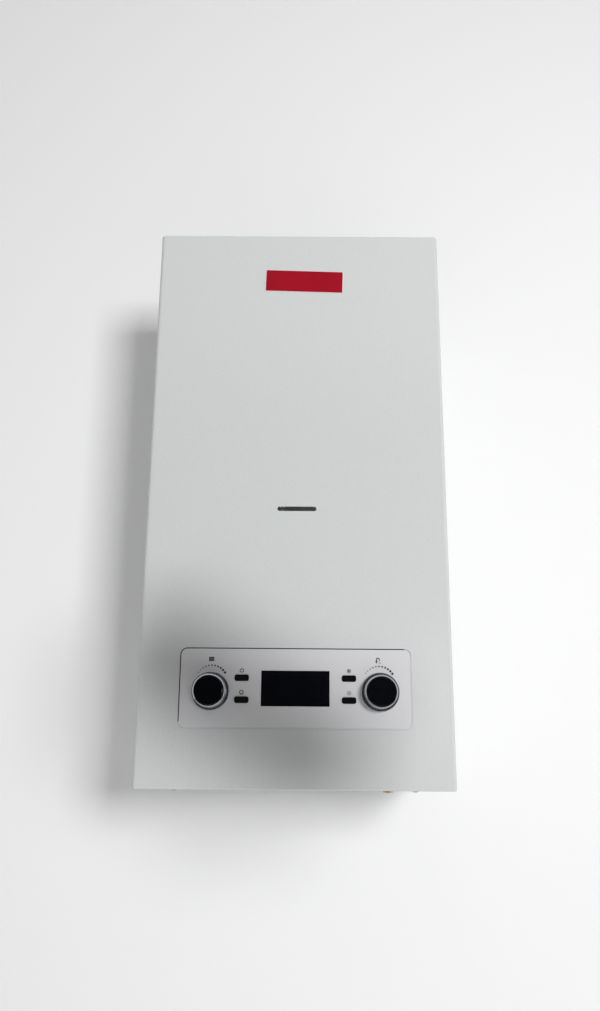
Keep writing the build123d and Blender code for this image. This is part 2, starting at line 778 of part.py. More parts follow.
def write_chamber():
    sheet = chamber_sheet
    z = (chamber_bottom, chamber_top)
    x = (-half_chamber, half_chamber)
    shell = block(x, (chamber_front, chamber_rear), z)
    shell -= block((x[0] + sheet, x[1] - sheet), (chamber_front, chamber_rear - sheet), z)
    write_node("chamber_shell", shell)
    front_y = (chamber_front - front_panel_sheet, chamber_front)
    panel = block(x, front_y, (front_panel_bottom, chamber_top)) - sight_opening(front_y)
    for electrode_x in electrode_xs:
        panel -= front_plate(Pos(electrode_x, electrode_z) * RegularPolygon(ceramic_radius + screw_fit,
                                                                            6), front_y)
    board_z = (insulation_bottom, chamber_top)
    front_board_y = (chamber_front, chamber_front + insulation)
    rear_board_y = (chamber_rear - sheet - insulation, chamber_rear - sheet)
    inner = half_chamber - sheet
    front_board = block((-inner, inner), front_board_y, board_z) - sight_opening(front_board_y,
                                                                                 sight_frame_band)
    sides = [block(side, (front_board_y[1], rear_board_y[0]), board_z)
             for side in ((-inner, insulation - inner), (inner - insulation, inner))]
    write_node("chamber_insulation", front_board, block((-inner, inner), rear_board_y, board_z), *sides)
    glass_y = (front_y[0] - sight_frame_thick, front_y[0])
    write_node("sight_glass", sight_opening(glass_y))
    frame_x = (sight_x[0] - sight_frame_left, sight_x[1] + sight_frame_right)
    frame = block(frame_x, glass_y,
                  about(sight_z, sight_height + 2 * sight_frame_band)) - sight_opening(glass_y)
    write_node("chamber_front_panel", panel, frame)


def write_burner():
    half = burner_bar_width / 2
    shoulder = burner_bar_bottom + burner_bar_shoulder
    top = burner_top
    ridge = half / 2
    bar_y = (burner_bar_front, burner_bar_rear)
    bars = []
    injectors = []
    mouth_z = manifold_z
    inner = half_chamber - chamber_sheet
    hexagon = RegularPolygon(injector_radius, 6)
    for n in range(burner_bars_count):
        x = (n - (burner_bars_count - 1) / 2) * burner_pitch
        profile = Polyline((x - half, burner_bar_bottom), (x + half, burner_bar_bottom),
                           (x + half, shoulder),
                           (x + ridge, top), (x - ridge, top), (x - half, shoulder), close=True)
        mouth = Pos(x, mouth_z) * RegularPolygon(burner_mouth_radius, 6)
        mouth_y = (burner_bar_front, burner_bar_front + burner_mouth_depth)
        bar = front_plate(make_face(profile), bar_y) - front_plate(mouth, mouth_y)
        inside_y = (bar_y[0] + burner_sheet, bar_y[1] - burner_sheet)
        inside_z = (burner_bar_bottom + burner_sheet, shoulder)
        bars.append(bar - block(about(x, burner_bar_width - 2 * burner_sheet), inside_y, inside_z))
        injectors.append(front_plate(Pos(x, mouth_z) * hexagon,
                                     (manifold_rear, manifold_rear + injector_length)))
    rail_z = (burner_bar_bottom - burner_rail_height, burner_bar_bottom)
    rail_ys = (burner_bar_front + burner_rail_inset,
               burner_bar_rear - burner_rail_inset - burner_rail_width)
    rails = [block((-inner, inner), (y, y + burner_rail_width), rail_z) for y in rail_ys]
    write_node("burner_bars", *bars, *rails)
    long = manifold_half_length
    manifold_y = (manifold_front, manifold_rear)
    manifold_zs = (manifold_bottom, manifold_bottom + manifold_size)
    manifold = block((-long, long), manifold_y, manifold_zs)
    for x in ((-half_chamber, -long), (long, half_chamber)):
        manifold += block(x, (manifold_rear - manifold_ear_thick, chamber_front), manifold_zs)
    write_node("gas_manifold", manifold, *injectors)
    electrodes = []
    for x in electrode_xs:
        ceramic_y = (manifold_front, chamber_front + ceramic_inside)
        ceramic = front_plate(Pos(x, electrode_z) * RegularPolygon(ceramic_radius, 6), ceramic_y)
        wire = 2 * electrode_wire_radius
        wire_y = (ceramic_y[1], ceramic_y[1] + electrode_wire_length)
        electrodes.append(ceramic + block(about(x, wire), wire_y, about(electrode_z, wire)))
    write_node("electrodes", *electrodes)


def write_exchanger():
    sheet = exchanger_sheet
    z = (chamber_top, exchanger_top)
    walls_y = (chamber_front, chamber_rear)
    jacket = frame_ring((-half_chamber, half_chamber), walls_y, z, sheet)
    fin_y = (chamber_front + sheet, chamber_rear - sheet)
    inner = half_chamber - sheet
    tube_ys = [chamber_y + (n - (tube_count - 1) / 2) * tube_pitch for n in range(tube_count)]
    fin = block(about(0, fin_thick), fin_y, about(exchanger_z, fin_height))
    tubes = []
    for y in tube_ys:
        fin -= block(about(0, fin_thick), about(y, tube_width), about(exchanger_z, tube_height))
        tube = block((-inner, inner), about(y, tube_width), about(exchanger_z, tube_height))
        bore = (tube_width - 2 * tube_wall, tube_height - 2 * tube_wall)
        tubes.append(tube - block((-inner, inner), about(y, bore[0]), about(exchanger_z, bore[1])))
    fins = [Pos((n - (fin_count - 1) / 2) * fin_pitch, 0, 0) * fin for n in range(fin_count)]
    write_node("exchanger_fins", *fins)
    write_node("exchanger_tubes", *tubes)
    box_y = (chamber_front + water_box_margin, chamber_rear - water_box_margin)
    water_box = block((half_chamber, half_chamber + water_box_length), box_y,
                      about(exchanger_z, water_box_height))
    water_box = chamfer(water_box.faces().sort_by(Axis.X)[-1].edges(), water_box_chamfer)
    hollow_y = (box_y[0] + water_box_wall, box_y[1] - water_box_wall)
    hollow_x = (half_chamber, half_chamber + water_box_length - water_box_chamfer)
    water_box -= block(hollow_x, hollow_y, about(exchanger_z, water_box_height - 2 * water_box_wall))
    write_node("exchanger_jacket", jacket, water_box, mirrored(water_box))


# Water and gas side
def stub_places():
    radii = (stub_large_radius, stub_small_radius, stub_large_radius, stub_small_radius,
             stub_large_radius)
    return [((n - 2) * pipe_pitch, radius) for n, radius in enumerate(radii)]


def relief_drain_y():
    return pipe_y - block_large_radius - relief_length / 2


# A pipe along Z
def pipe(x, z, radius=pipe_radius, y=pipe_y):
    return upright(radius, x, y, z)


def write_stubs_and_pipes():
    stubs = []
    for x, radius in stub_places():
        bore = stub_large_bore if radius == stub_large_radius else stub_small_bore
        stub = upright(radius, x, pipe_y, (-stub_drop, -stub_shoulder))
        stub += plan_plate(Pos(x, pipe_y) * RegularPolygon(radius + stub_hex_margin, 6),
                           (-stub_shoulder, stub_top))
        stubs.append(stub - upright(bore, x, pipe_y, (-stub_drop, stub_top)))
    write_node("pipe_stubs", *stubs)
    box_under = exchanger_z - water_box_height / 2
    write_node("heating_pipes", pipe(-pump_x, (flow_block_top, box_under)),
               pipe(pump_x, (pump_outlet_top, box_under)))
    manifold_y = manifold_front + manifold_size / 2
    elbow_z = about(gas_outlet_z, gas_elbow_size)
    elbow = block(about(0, gas_elbow_size), about(manifold_y, gas_elbow_size), elbow_z)
    elbow = chamfer(elbow.edges().filter_by(Axis.X), gas_elbow_size / 5)
    run = level(pipe_radius, 0, gas_outlet_z, (manifold_y + gas_elbow_size / 2, gas_valve_y[0]))
    riser = pipe(0, (elbow_z[1], manifold_bottom), y=manifold_y)
    write_node("gas_pipes", pipe(0, (stub_top, gas_valve_z[0])), elbow, run, riser)
    write_node("vessel_hose", pipe(hose_x, (separator_z[1], vessel_bottom), hose_radius, hose_y))
    half = sensor_size / 2
    sensor_y = (pipe_y - pipe_radius - sensor_size, pipe_y - pipe_radius)
    write_node("temperature_sensors",
               *[block((-pump_x - half, half - pump_x), sensor_y, about(z, sensor_size))
                                        for z in sensor_heights])


def write_gas_valve():
    body = block(about(0, gas_valve_width), gas_valve_y, gas_valve_z)
    write_node("gas_valve", chamfer(body.edges(), gas_valve_bevel))
    middle = (gas_valve_y[0] + gas_valve_y[1]) / 2
    coil_z = (gas_valve_z[1], gas_valve_z[1] + coil_height)
    write_node("gas_valve_coils", *[block(about(x, coil_size), about(middle, coil_size), coil_z)
                                    for x in (-coil_spacing / 2, coil_spacing / 2)])


def write_vessel():
    vessel_z = vessel_bottom + vessel_height / 2
    shape = outline(vessel_width, vessel_height, vessel_corner, 0, vessel_z)
    vessel = front_plate(shape, (vessel_front, vessel_rear))
    vessel = chamfer(vessel.faces().sort_by(Axis.Y)[0].edges(), vessel_rim_chamfer)
    wall = 2 * vessel_wall
    hollow = outline(vessel_width - wall, vessel_height - wall, vessel_corner - vessel_wall, 0, vessel_z)
    vessel -= front_plate(hollow, (vessel_front + vessel_rim_chamfer, vessel_rear - vessel_wall))
    write_node("expansion_vessel", vessel - upright(hose_bore, hose_x, hose_y, (vessel_bottom, vessel_z)))


def write_plate_exchanger():
    y, z = plate_exchanger_y, plate_exchanger_z
    step = plate_exchanger_step
    half = plate_exchanger_width / 2
    stack = block((step - half, half - step), y, (z[0] + step, z[1] - step))
    pitch = (y[1] - y[0]) / (2 * plate_exchanger_ribs - 1)
    for n in range(plate_exchanger_ribs):
        start = y[0] + 2 * n * pitch
        stack += block((-half, half), (start, start + pitch), z)
    write_node("plate_exchanger", stack)


def write_blocks():
    large, small = block_large_radius, block_small_radius
    bridge_end = plate_exchanger_y[0]
    flow = upright(large, -pump_x, pipe_y, (stub_top, flow_block_top))
    flow += upright(small, -pipe_pitch, pipe_y, (stub_top, small_block_top))
    flow += block((-pump_x, -pipe_pitch), (bridge_y, bridge_end), bridge_z)
    write_node("flow_block", flow)
    pump_left = pump_x - pump_size / 2
    inlet = upright(small, pipe_pitch, pipe_y, (stub_top, small_block_top))
    write_node("return_block", inlet + block((pipe_pitch, pump_left), (bridge_y, bridge_end), bridge_z))
    actuator_y = (pipe_y - large - actuator_depth, pipe_y - large)
    actuator = block(about(-pump_x, actuator_width), actuator_y, actuator_z)
    write_node("diverter_actuator", chamfer(actuator.edges().filter_by(Axis.Z), actuator_bevel))


def write_pump():
    housing = front_plate(outline(pump_size, pump_size, pump_corner, pump_x, pump_z), pump_y)
    housing += upright(block_large_radius, pump_x, pipe_y, (stub_top, pump_z))
    housing += upright(block_small_radius, pump_x, pipe_y, (pump_z, pump_outlet_top))
    housing += block(separator_x, (pump_y[1], separator_rear), separator_z)
    write_node("pump_housing", housing)
    motor = level(motor_radius, pump_x, pump_z, (motor_front, pump_y[0]))
    box_z = (pump_z, pump_z + motor_radius + motor_box_rise)
    motor += block(about(pump_x, motor_box_width),
                   (motor_front + motor_box_front_gap, pump_y[0] - motor_box_rear_gap), box_z)
    write_node("pump_motor", motor)
    write_node("air_vent", upright(vent_radius, vent_x, vent_y, (separator_z[1], vent_top)))


def write_taps():
    rear = pipe_y - block_large_radius
    front = rear - relief_length
    hexagon = Pos(pump_x, relief_z) * RegularPolygon(relief_hex_radius, 6)
    valve = front_plate(hexagon, (front, rear + relief_seat_depth))
    valve -= upright(block_large_radius, pump_x, pipe_y, about(relief_z, 2 * relief_length))
    drain = upright(relief_drain_radius, pump_x, relief_drain_y(),
                    (-stub_drop, relief_z - relief_hex_radius / 2))
    write_node("relief_valve", valve + drain)
    knob = Pos(pump_x, front - knob_seat_gap, relief_z) * Rot(90, 0, 0) * lobed_knob(relief_knob_radius,
                                                                                     relief_knob_thick)
    write_node("relief_knob", knob)
    tap = upright(tap_body_radius, tap_x, pipe_y, tap_body_z)
    arm_z = (tap_body_z[1] - tap_arm_drop - tap_arm_width, tap_body_z[1] - tap_arm_drop)
    tap += block((pipe_pitch, tap_x), about(pipe_y, tap_arm_width), arm_z)
    tap -= upright(block_small_radius, pipe_pitch, pipe_y, tap_body_z)
    tap -= upright(tap_spindle_radius + spindle_fit, tap_x, pipe_y,
                   (tap_body_z[0], tap_body_z[0] + tap_spindle_depth))
    write_node("filling_tap", tap)
    tap_knob = Pos(tap_x, pipe_y, tap_knob_z[0]) * lobed_knob(tap_knob_radius,
                                                              tap_knob_z[1] - tap_knob_z[0])
    tap_knob += upright(tap_spindle_radius, tap_x, pipe_y, (tap_knob_z[1], tap_body_z[0] + tap_knob_spindle))
    write_node("filling_tap_knob", tap_knob)


os.makedirs("parts", exist_ok=True)
write_casing()
write_frame()
write_controls()
write_flue()
write_fan()
write_chamber()
write_burner()
write_exchanger()
write_stubs_and_pipes()
write_gas_valve()
write_vessel()
write_plate_exchanger()
write_blocks()
write_pump()
write_taps()
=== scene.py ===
import bpy
import bmesh
import json
import math
from mathutils import Matrix, Vector


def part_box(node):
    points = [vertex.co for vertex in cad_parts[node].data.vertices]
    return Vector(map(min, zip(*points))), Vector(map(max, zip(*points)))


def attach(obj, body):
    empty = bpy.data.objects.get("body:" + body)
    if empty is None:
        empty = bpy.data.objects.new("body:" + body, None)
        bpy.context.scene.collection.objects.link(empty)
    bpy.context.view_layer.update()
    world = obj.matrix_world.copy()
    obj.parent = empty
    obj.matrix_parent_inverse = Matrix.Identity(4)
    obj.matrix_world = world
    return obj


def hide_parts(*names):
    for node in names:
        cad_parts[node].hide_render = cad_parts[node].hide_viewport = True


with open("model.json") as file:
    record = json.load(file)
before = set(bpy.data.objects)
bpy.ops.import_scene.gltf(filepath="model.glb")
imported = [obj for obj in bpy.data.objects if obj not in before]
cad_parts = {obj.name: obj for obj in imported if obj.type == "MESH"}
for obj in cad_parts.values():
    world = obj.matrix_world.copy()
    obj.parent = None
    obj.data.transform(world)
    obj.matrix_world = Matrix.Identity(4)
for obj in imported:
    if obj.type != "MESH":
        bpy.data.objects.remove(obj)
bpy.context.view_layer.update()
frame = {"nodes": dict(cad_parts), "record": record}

# wall-hung gas combi boiler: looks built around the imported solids, in metres
# x to the right, y towards the wall, z up; z = 0 is the line of the hanging slots
nodes = frame["nodes"]
print("frame loaded:", len(nodes), "nodes")

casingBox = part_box("casing_cover")
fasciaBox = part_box("control_fascia")
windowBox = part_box("display_window")
frontY = casingBox[0].y
fasciaFaceY = fasciaBox[0].y


# colours are written as sRGB hex and turned to linear here
def toLinear(hexColour):
    parts = [int(hexColour[i:i + 2], 16) / 255 for i in (1, 3, 5)]
    linear = [c / 12.92 if c <= 0.04045 else ((c + 0.055) / 1.055) ** 2.4 for c in parts]
    return (*linear, 1.0)


# adds a node, sets its properties and inputs; a tuple (node, output) becomes a link
def addNode(tree, kind, props=None, **inputs):
    node = tree.nodes.new(kind)
    for name, value in (props or {}).items():
        setattr(node, name, value)
    for name, value in inputs.items():
        key = int(name[1:]) if name[1:].isdigit() else name.replace("_", " ")
        if isinstance(value, tuple) and len(value) == 2 and hasattr(value[0], "outputs"):
            tree.links.new(value[0].outputs[value[1]], node.inputs[key])
        else:
            node.inputs[key].default_value = value
    return node


# a material with an empty tree, a Principled shader and object coordinates scaled to millimetres
def startMaterial(name, **shader):
    mat = bpy.data.materials.new(name)
    mat.use_nodes = True
    tree = mat.node_tree
    tree.nodes.clear()
    out = addNode(tree, "ShaderNodeOutputMaterial")
    bsdf = addNode(tree, "ShaderNodeBsdfPrincipled", None, **shader)
    tree.links.new(bsdf.outputs[0], out.inputs[0])
    coords = addNode(tree, "ShaderNodeTexCoord")
    mm = addNode(tree, "ShaderNodeVectorMath", {"operation": "SCALE"}, i0=(coords, "Object"), Scale=1000.0)
    return mat, tree, bsdf, mm


# noise whose grains are about size millimetres wide, spread between two values
def grain(tree, mm, size, low, high, detail=3.0, stretch=None):
    place = mm
    if stretch:
        place = addNode(tree, "ShaderNodeVectorMath", {"operation": "MULTIPLY"}, i0=(mm, 0), i1=stretch)
    noise = addNode(tree, "ShaderNodeTexNoise", None, Vector=(place, 0), Scale=1.0 / size, Detail=detail)
    return addNode(tree, "ShaderNodeMapRange", None, Value=(noise, 0), From_Min=0.3, From_Max=0.7,
                   To_Min=low, To_Max=high)


# a colour that wanders between two hex values in patches of size millimetres
def patchColour(tree, mm, size, first, second, detail=3.0, stretch=None):
    share = grain(tree, mm, size, 0.0, 1.0, detail, stretch)
    return addNode(tree, "ShaderNodeMix", {"data_type": "RGBA"}, i0=(share, 0), i6=toLinear(first),
                   i7=toLinear(second))


# one finish: two close colours in patches, a wandering roughness and a fine relief, all sized in millimetres
def makeFinish(name, look):
    shader = {"Metallic": look.get("metallic", 0.0)}
    for socket in ("IOR", "Coat_Weight", "Coat_Roughness", "Anisotropic", "Sheen_Weight",
                   "Transmission_Weight",
                   "Specular_IOR_Level"):
        if socket in look:
            shader[socket] = look[socket]
    mat, tree, bsdf, mm = startMaterial(name, **shader)
    stretch = look.get("stretch")
    colour = patchColour(tree, mm, look["patchMm"], *look["colours"], stretch=stretch)
    tree.links.new(colour.outputs[2], bsdf.inputs["Base Color"])
    rough = grain(tree, mm, look.get("roughMm", look["patchMm"]), *look["roughness"], stretch=stretch)
    tree.links.new(rough.outputs[0], bsdf.inputs["Roughness"])
    relief = grain(tree, mm, look["reliefMm"], 0.0, 1.0, 2.0, look.get("reliefStretch", stretch))
    bump = addNode(tree, "ShaderNodeBump", None, Strength=1.0, Distance=look["reliefDepth"] / 1000,
                   Height=(relief, 0))
    tree.links.new(bump.outputs[0], bsdf.inputs["Normal"])
    return mat


# white polyester powder coat, sprayed and baked: satin, with a soft orange peel that breaks up reflections
powderCoat = makeFinish("whitePowderCoatSprayed", {
    "colours": ("#CDD0CF", "#CFD2D1"), "patchMm": 2.2, "roughness": (0.27, 0.29), "roughMm": 2.5,
    "IOR": 1.5, "reliefMm": 1.6, "reliefDepth": 0.012, "Coat_Weight": 0.25, "Coat_Roughness": 0.2})

# white ABS, injection moulded against a fine spark-eroded tool: matt, a touch warmer than the casing
fasciaAbs = makeFinish("whiteAbsMoulded", {
    "colours": ("#D3D2D4", "#D5D4D6"), "patchMm": 1.4, "roughness": (0.37, 0.41), "roughMm": 2.0,
    "IOR": 1.53, "reliefMm": 0.5, "reliefDepth": 0.01})

# dark grey ABS, moulded: the tub behind the fascia, plain and dull
tubAbs = makeFinish("greyAbsMoulded", {
    "colours": ("#34353A", "#3A3B40"), "patchMm": 30.0, "roughness": (0.45, 0.55), "roughMm": 10.0,
    "IOR": 1.53, "reliefMm": 0.6, "reliefDepth": 0.02})

# black ABS, moulded satin: the keys, dull enough to show their round edges
keyAbs = makeFinish("blackAbsMoulded", {
    "colours": ("#040405", "#070708"), "patchMm": 4.0, "roughness": (0.5, 0.6), "roughMm": 2.0,
    "IOR": 1.53, "Specular_IOR_Level": 0.12, "reliefMm": 0.4, "reliefDepth": 0.008})

# black acrylic, cast and polished: deep gloss with a little dust and faint wiping marks
blackAcrylic = makeFinish("blackAcrylicPolished", {
    "colours": ("#07080D", "#0C0D12"), "patchMm": 14.0, "roughness": (0.05, 0.11), "roughMm": 18.0,
    "IOR": 1.49, "reliefMm": 9.0, "reliefDepth": 0.01})

# bright chrome plated on ABS: mirror with a slight waviness of the moulding under it
chromePlate = makeFinish("chromePlatedAbs", {
    "colours": ("#9FA1A5", "#ABADB1"), "patchMm": 8.0, "roughness": (0.06, 0.13), "roughMm": 6.0,
    "metallic": 1.0, "reliefMm": 5.0, "reliefDepth": 0.01})

# crimson printed foil on a thin plate, satin laminate
crimsonFoil = makeFinish("crimsonFoilLaminated", {
    "colours": ("#98081F", "#A00A22"), "patchMm": 60.0, "roughness": (0.32, 0.36), "roughMm": 30.0,
    "IOR": 1.5, "Specular_IOR_Level": 0.15, "reliefMm": 3.0, "reliefDepth": 0.006})

# pale edge of the same foil, unprinted
paleFoil = makeFinish("paleFoilLaminated", {
    "colours": ("#DCCFD0", "#E2D8D8"), "patchMm": 6.0, "roughness": (0.32, 0.4), "roughMm": 4.0,
    "IOR": 1.5, "reliefMm": 2.0, "reliefDepth": 0.004})

# dark grey ink, pad printed: flat and slightly uneven in cover
padInk = makeFinish("darkInkPadPrinted", {
    "colours": ("#17171A", "#222226"), "patchMm": 0.8, "roughness": (0.45, 0.6), "roughMm": 1.0,
    "IOR": 1.5, "reliefMm": 0.5, "reliefDepth": 0.002})

# grey ink, screen printed behind the display's glass: barely lighter than the black round it
borderInk = makeFinish("greyInkScreenPrinted", {
    "colours": ("#15171C", "#191B21"), "patchMm": 3.0, "roughness": (0.12, 0.2), "roughMm": 4.0,
    "IOR": 1.49, "reliefMm": 2.0, "reliefDepth": 0.002})

# painted shade: a dull, near-black strip laid in the joint round the fascia, standing for the shadow in the
# gap
gapShade = makeFinish("paintedShadeInJoint", {
    "colours": ("#2A2B2D", "#303134"), "patchMm": 2.0, "roughness": (0.85, 0.95), "roughMm": 2.0,
    "IOR": 1.45, "Specular_IOR_Level": 0.1, "reliefMm": 1.0, "reliefDepth": 0.03})

# painted shade: the dark, shaded bottom of a screw's cross recess, given as a dark metal cross standing on
# the head
recessShade = makeFinish("paintedRecessShade", {
    "colours": ("#2B2B29", "#3A3A36"), "patchMm": 0.8, "roughness": (0.4, 0.6), "roughMm": 0.6,
    "metallic": 1.0, "reliefMm": 0.5, "reliefDepth": 0.01})

# copper wire, wound and varnished: red-brown rows of wire, a millimetre apart so that they show
windingEnamel = makeFinish("copperWireVarnished", {
    "colours": ("#6E2F1B", "#A4552F"), "patchMm": 1.0, "roughness": (0.2, 0.34), "roughMm": 2.0,
    "stretch": (0.04, 1.0, 0.04), "metallic": 0.6, "reliefMm": 1.0, "reliefDepth": 0.12})

# steel, aluminised by hot dip: pale matt silver with dull clouds
aluminisedSteel = makeFinish("steelHotAluminised", {
    "colours": ("#A5A5A2", "#BDBDBA"), "patchMm": 28.0, "roughness": (0.38, 0.55), "roughMm": 14.0,
    "metallic": 1.0, "reliefMm": 2.2, "reliefDepth": 0.03})

# stainless steel, cold rolled and pressed: fine grain along the rolling direction
stainlessSteel = makeFinish("stainlessSteelRolled", {
    "colours": ("#B2B1AD", "#C3C2BE"), "patchMm": 9.0, "roughness": (0.22, 0.36), "roughMm": 5.0,
    "stretch": (0.12, 1.0, 1.6), "metallic": 1.0, "reliefMm": 0.7, "reliefDepth": 0.008})

# bright zinc, electroplated and passivated: silver with a faint straw tint
zincPlate = makeFinish("zincPassivatedPlated", {
    "colours": ("#BEBDB2", "#CFCBBB"), "patchMm": 3.0, "roughness": (0.22, 0.34), "roughMm": 2.0,
    "metallic": 1.0, "reliefMm": 0.9, "reliefDepth": 0.01})

# copper, drawn and dip-soldered: warm, dulled in clouds by handling and heat
drawnCopper = makeFinish("copperDrawn", {
    "colours": ("#B26A48", "#D08B66"), "patchMm": 16.0, "roughness": (0.24, 0.42), "roughMm": 9.0,
    "metallic": 1.0, "reliefMm": 4.0, "reliefDepth": 0.02})

# brass, hot pressed and bead blasted: dull gold with a fine sandy skin
pressedBrass = makeFinish("brassHotPressed", {
    "colours": ("#BD9A56", "#CBAC69"), "patchMm": 12.0, "roughness": (0.3, 0.46), "roughMm": 5.0,
    "metallic": 1.0, "reliefMm": 0.9, "reliefDepth": 0.03})

# aluminium, die cast and tumbled: light grey with flow marks and a pebbled skin
castAluminium = makeFinish("aluminiumDieCast", {
    "colours": ("#A9ABAD", "#BCBEC0"), "patchMm": 18.0, "roughness": (0.36, 0.52), "roughMm": 7.0,
    "metallic": 1.0, "reliefMm": 1.4, "reliefDepth": 0.05})

# cast iron, dipped in black paint: satin black over a coarse casting skin
paintedIron = makeFinish("ironCastPainted", {
    "colours": ("#1C1D1F", "#26272A"), "patchMm": 11.0, "roughness": (0.38, 0.5), "roughMm": 6.0,
    "IOR": 1.5, "reliefMm": 1.2, "reliefDepth": 0.09})

# glass-filled nylon, moulded dark grey: the pump motor's shell, matt with flow lines
motorNylon = makeFinish("greyNylonMoulded", {
    "colours": ("#2B2D30", "#35373A"), "patchMm": 14.0, "roughness": (0.42, 0.56), "roughMm": 5.0,
    "IOR": 1.53, "reliefMm": 0.8, "reliefDepth": 0.03})

# red stove enamel on deep-drawn steel: glossy, with a light peel
redEnamel = makeFinish("redEnamelStoved", {
    "colours": ("#8F1512", "#9C1B17"), "patchMm": 45.0, "roughness": (0.24, 0.34), "roughMm": 18.0,
    "IOR": 1.5, "reliefMm": 2.4, "reliefDepth": 0.03, "Coat_Weight": 0.3, "Coat_Roughness": 0.15})

# black polyester, moulded over the coils: semi-gloss
coilPolyester = makeFinish("blackPolyesterMoulded", {
    "colours": ("#141416", "#1C1C1F"), "patchMm": 6.0, "roughness": (0.3, 0.42), "roughMm": 3.0,
    "IOR": 1.53, "reliefMm": 0.7, "reliefDepth": 0.015})

# natural polyamide, moulded: creamy white, slightly waxy
whitePolyamide = makeFinish("whitePolyamideMoulded", {
    "colours": ("#D6D4CC", "#E0DED6"), "patchMm": 10.0, "roughness": (0.36, 0.48), "roughMm": 5.0,
    "IOR": 1.53, "reliefMm": 0.8, "reliefDepth": 0.015})

# silicone, extruded brick red: soft matt skin that holds dust
redSilicone = makeFinish("redSiliconeExtruded", {
    "colours": ("#9A3B2A", "#A94735"), "patchMm": 8.0, "roughness": (0.5, 0.66), "roughMm": 3.0,
    "IOR": 1.41, "reliefMm": 1.0, "reliefDepth": 0.02, "Sheen_Weight": 0.15})

# nitrile rubber, wrapped and cured: dull black with wrap marks round the hose
hoseRubber = makeFinish("blackRubberCured", {
    "colours": ("#17171A", "#202023"), "patchMm": 5.0, "roughness": (0.55, 0.7), "roughMm": 3.0,
    "stretch": (0.2, 0.2, 1.0), "IOR": 1.52, "reliefMm": 1.5, "reliefDepth": 0.05})

# nylon, moulded red: the relief valve's cap
redNylon = makeFinish("redNylonMoulded", {
    "colours": ("#AC1C14", "#BC241B"), "patchMm": 7.0, "roughness": (0.32, 0.44), "roughMm": 3.0,
    "IOR": 1.53, "reliefMm": 0.7, "reliefDepth": 0.012})

# nylon, moulded blue: the filling tap's knob
blueNylon = makeFinish("blueNylonMoulded", {
    "colours": ("#1F4FA0", "#285AAE"), "patchMm": 7.0, "roughness": (0.32, 0.44), "roughMm": 3.0,
    "IOR": 1.53, "reliefMm": 0.7, "reliefDepth": 0.012})

# alumina, slip glazed and fired: off-white and glassy, with specks
glazedAlumina = makeFinish("aluminaGlazed", {
    "colours": ("#DAD7CE", "#E6E3DB"), "patchMm": 3.0, "roughness": (0.1, 0.2), "roughMm": 4.0,
    "IOR": 1.6, "reliefMm": 2.0, "reliefDepth": 0.01})

# alumina fibre, vacuum formed into board: soft, pale and napped
fibreBoard = makeFinish("aluminaFibreFormed", {
    "colours": ("#CFC8B8", "#E0DACC"), "patchMm": 5.0, "roughness": (0.85, 0.95), "roughMm": 3.0,
    "IOR": 1.5, "reliefMm": 0.9, "reliefStretch": (1.0, 0.4, 2.4), "reliefDepth": 0.25,
    "Sheen_Weight": 0.3})

# liquid crystal cell behind its dark frame: nearly black, faintly green when off
crystalCell = makeFinish("displayCellLaminated", {
    "colours": ("#0D1110", "#121716"), "patchMm": 9.0, "roughness": (0.12, 0.2), "roughMm": 6.0,
    "IOR": 1.52, "reliefMm": 4.0, "reliefDepth": 0.004})

# epoxy, transfer moulded over the board's components: charcoal, fine matt
componentEpoxy = makeFinish("blackEpoxyMoulded", {
    "colours": ("#1B1C1F", "#26272B"), "patchMm": 5.0, "roughness": (0.4, 0.55), "roughMm": 2.0,
    "IOR": 1.55, "reliefMm": 0.4, "reliefDepth": 0.01})

# borosilicate glass, drawn and cut: clear, a little green at its edges
clearGlass = makeFinish("borosilicateGlassDrawn", {
    "colours": ("#EAF1EF", "#F2F7F6"), "patchMm": 30.0, "roughness": (0.02, 0.05), "roughMm": 20.0,
    "IOR": 1.47, "Specular_IOR_Level": 0.3, "Transmission_Weight": 0.96, "reliefMm": 14.0,
    "reliefDepth": 0.01})


# galvanised steel, hot dipped: crystals of zinc a centimetre or so wide, each its own grey
def makeGalvanised():
    look = {"spangleMm": 11.0, "dull": "#9EA3A5", "bright": "#BBC0C2", "reliefDepth": 0.012}
    mat, tree, bsdf, mm = startMaterial("steelHotGalvanised", Metallic=1.0)
    spangle = addNode(tree, "ShaderNodeTexVoronoi", None, Vector=(mm, 0), Scale=1.0 / look["spangleMm"])
    shade = addNode(tree, "ShaderNodeSeparateColor", None, i0=(spangle, "Color"))
    colour = addNode(tree, "ShaderNodeMix", {"data_type": "RGBA"}, i0=(shade, 0),
                     i6=toLinear(look["dull"]), i7=toLinear(look["bright"]))
    tree.links.new(colour.outputs[2], bsdf.inputs["Base Color"])
    rough = addNode(tree, "ShaderNodeMapRange", None, Value=(shade, 1), To_Min=0.3, To_Max=0.5)
    tree.links.new(rough.outputs[0], bsdf.inputs["Roughness"])
    bump = addNode(tree, "ShaderNodeBump", None, Strength=1.0, Distance=look["reliefDepth"] / 1000,
                   Height=(spangle, 0))
    tree.links.new(bump.outputs[0], bsdf.inputs["Normal"])
    return mat


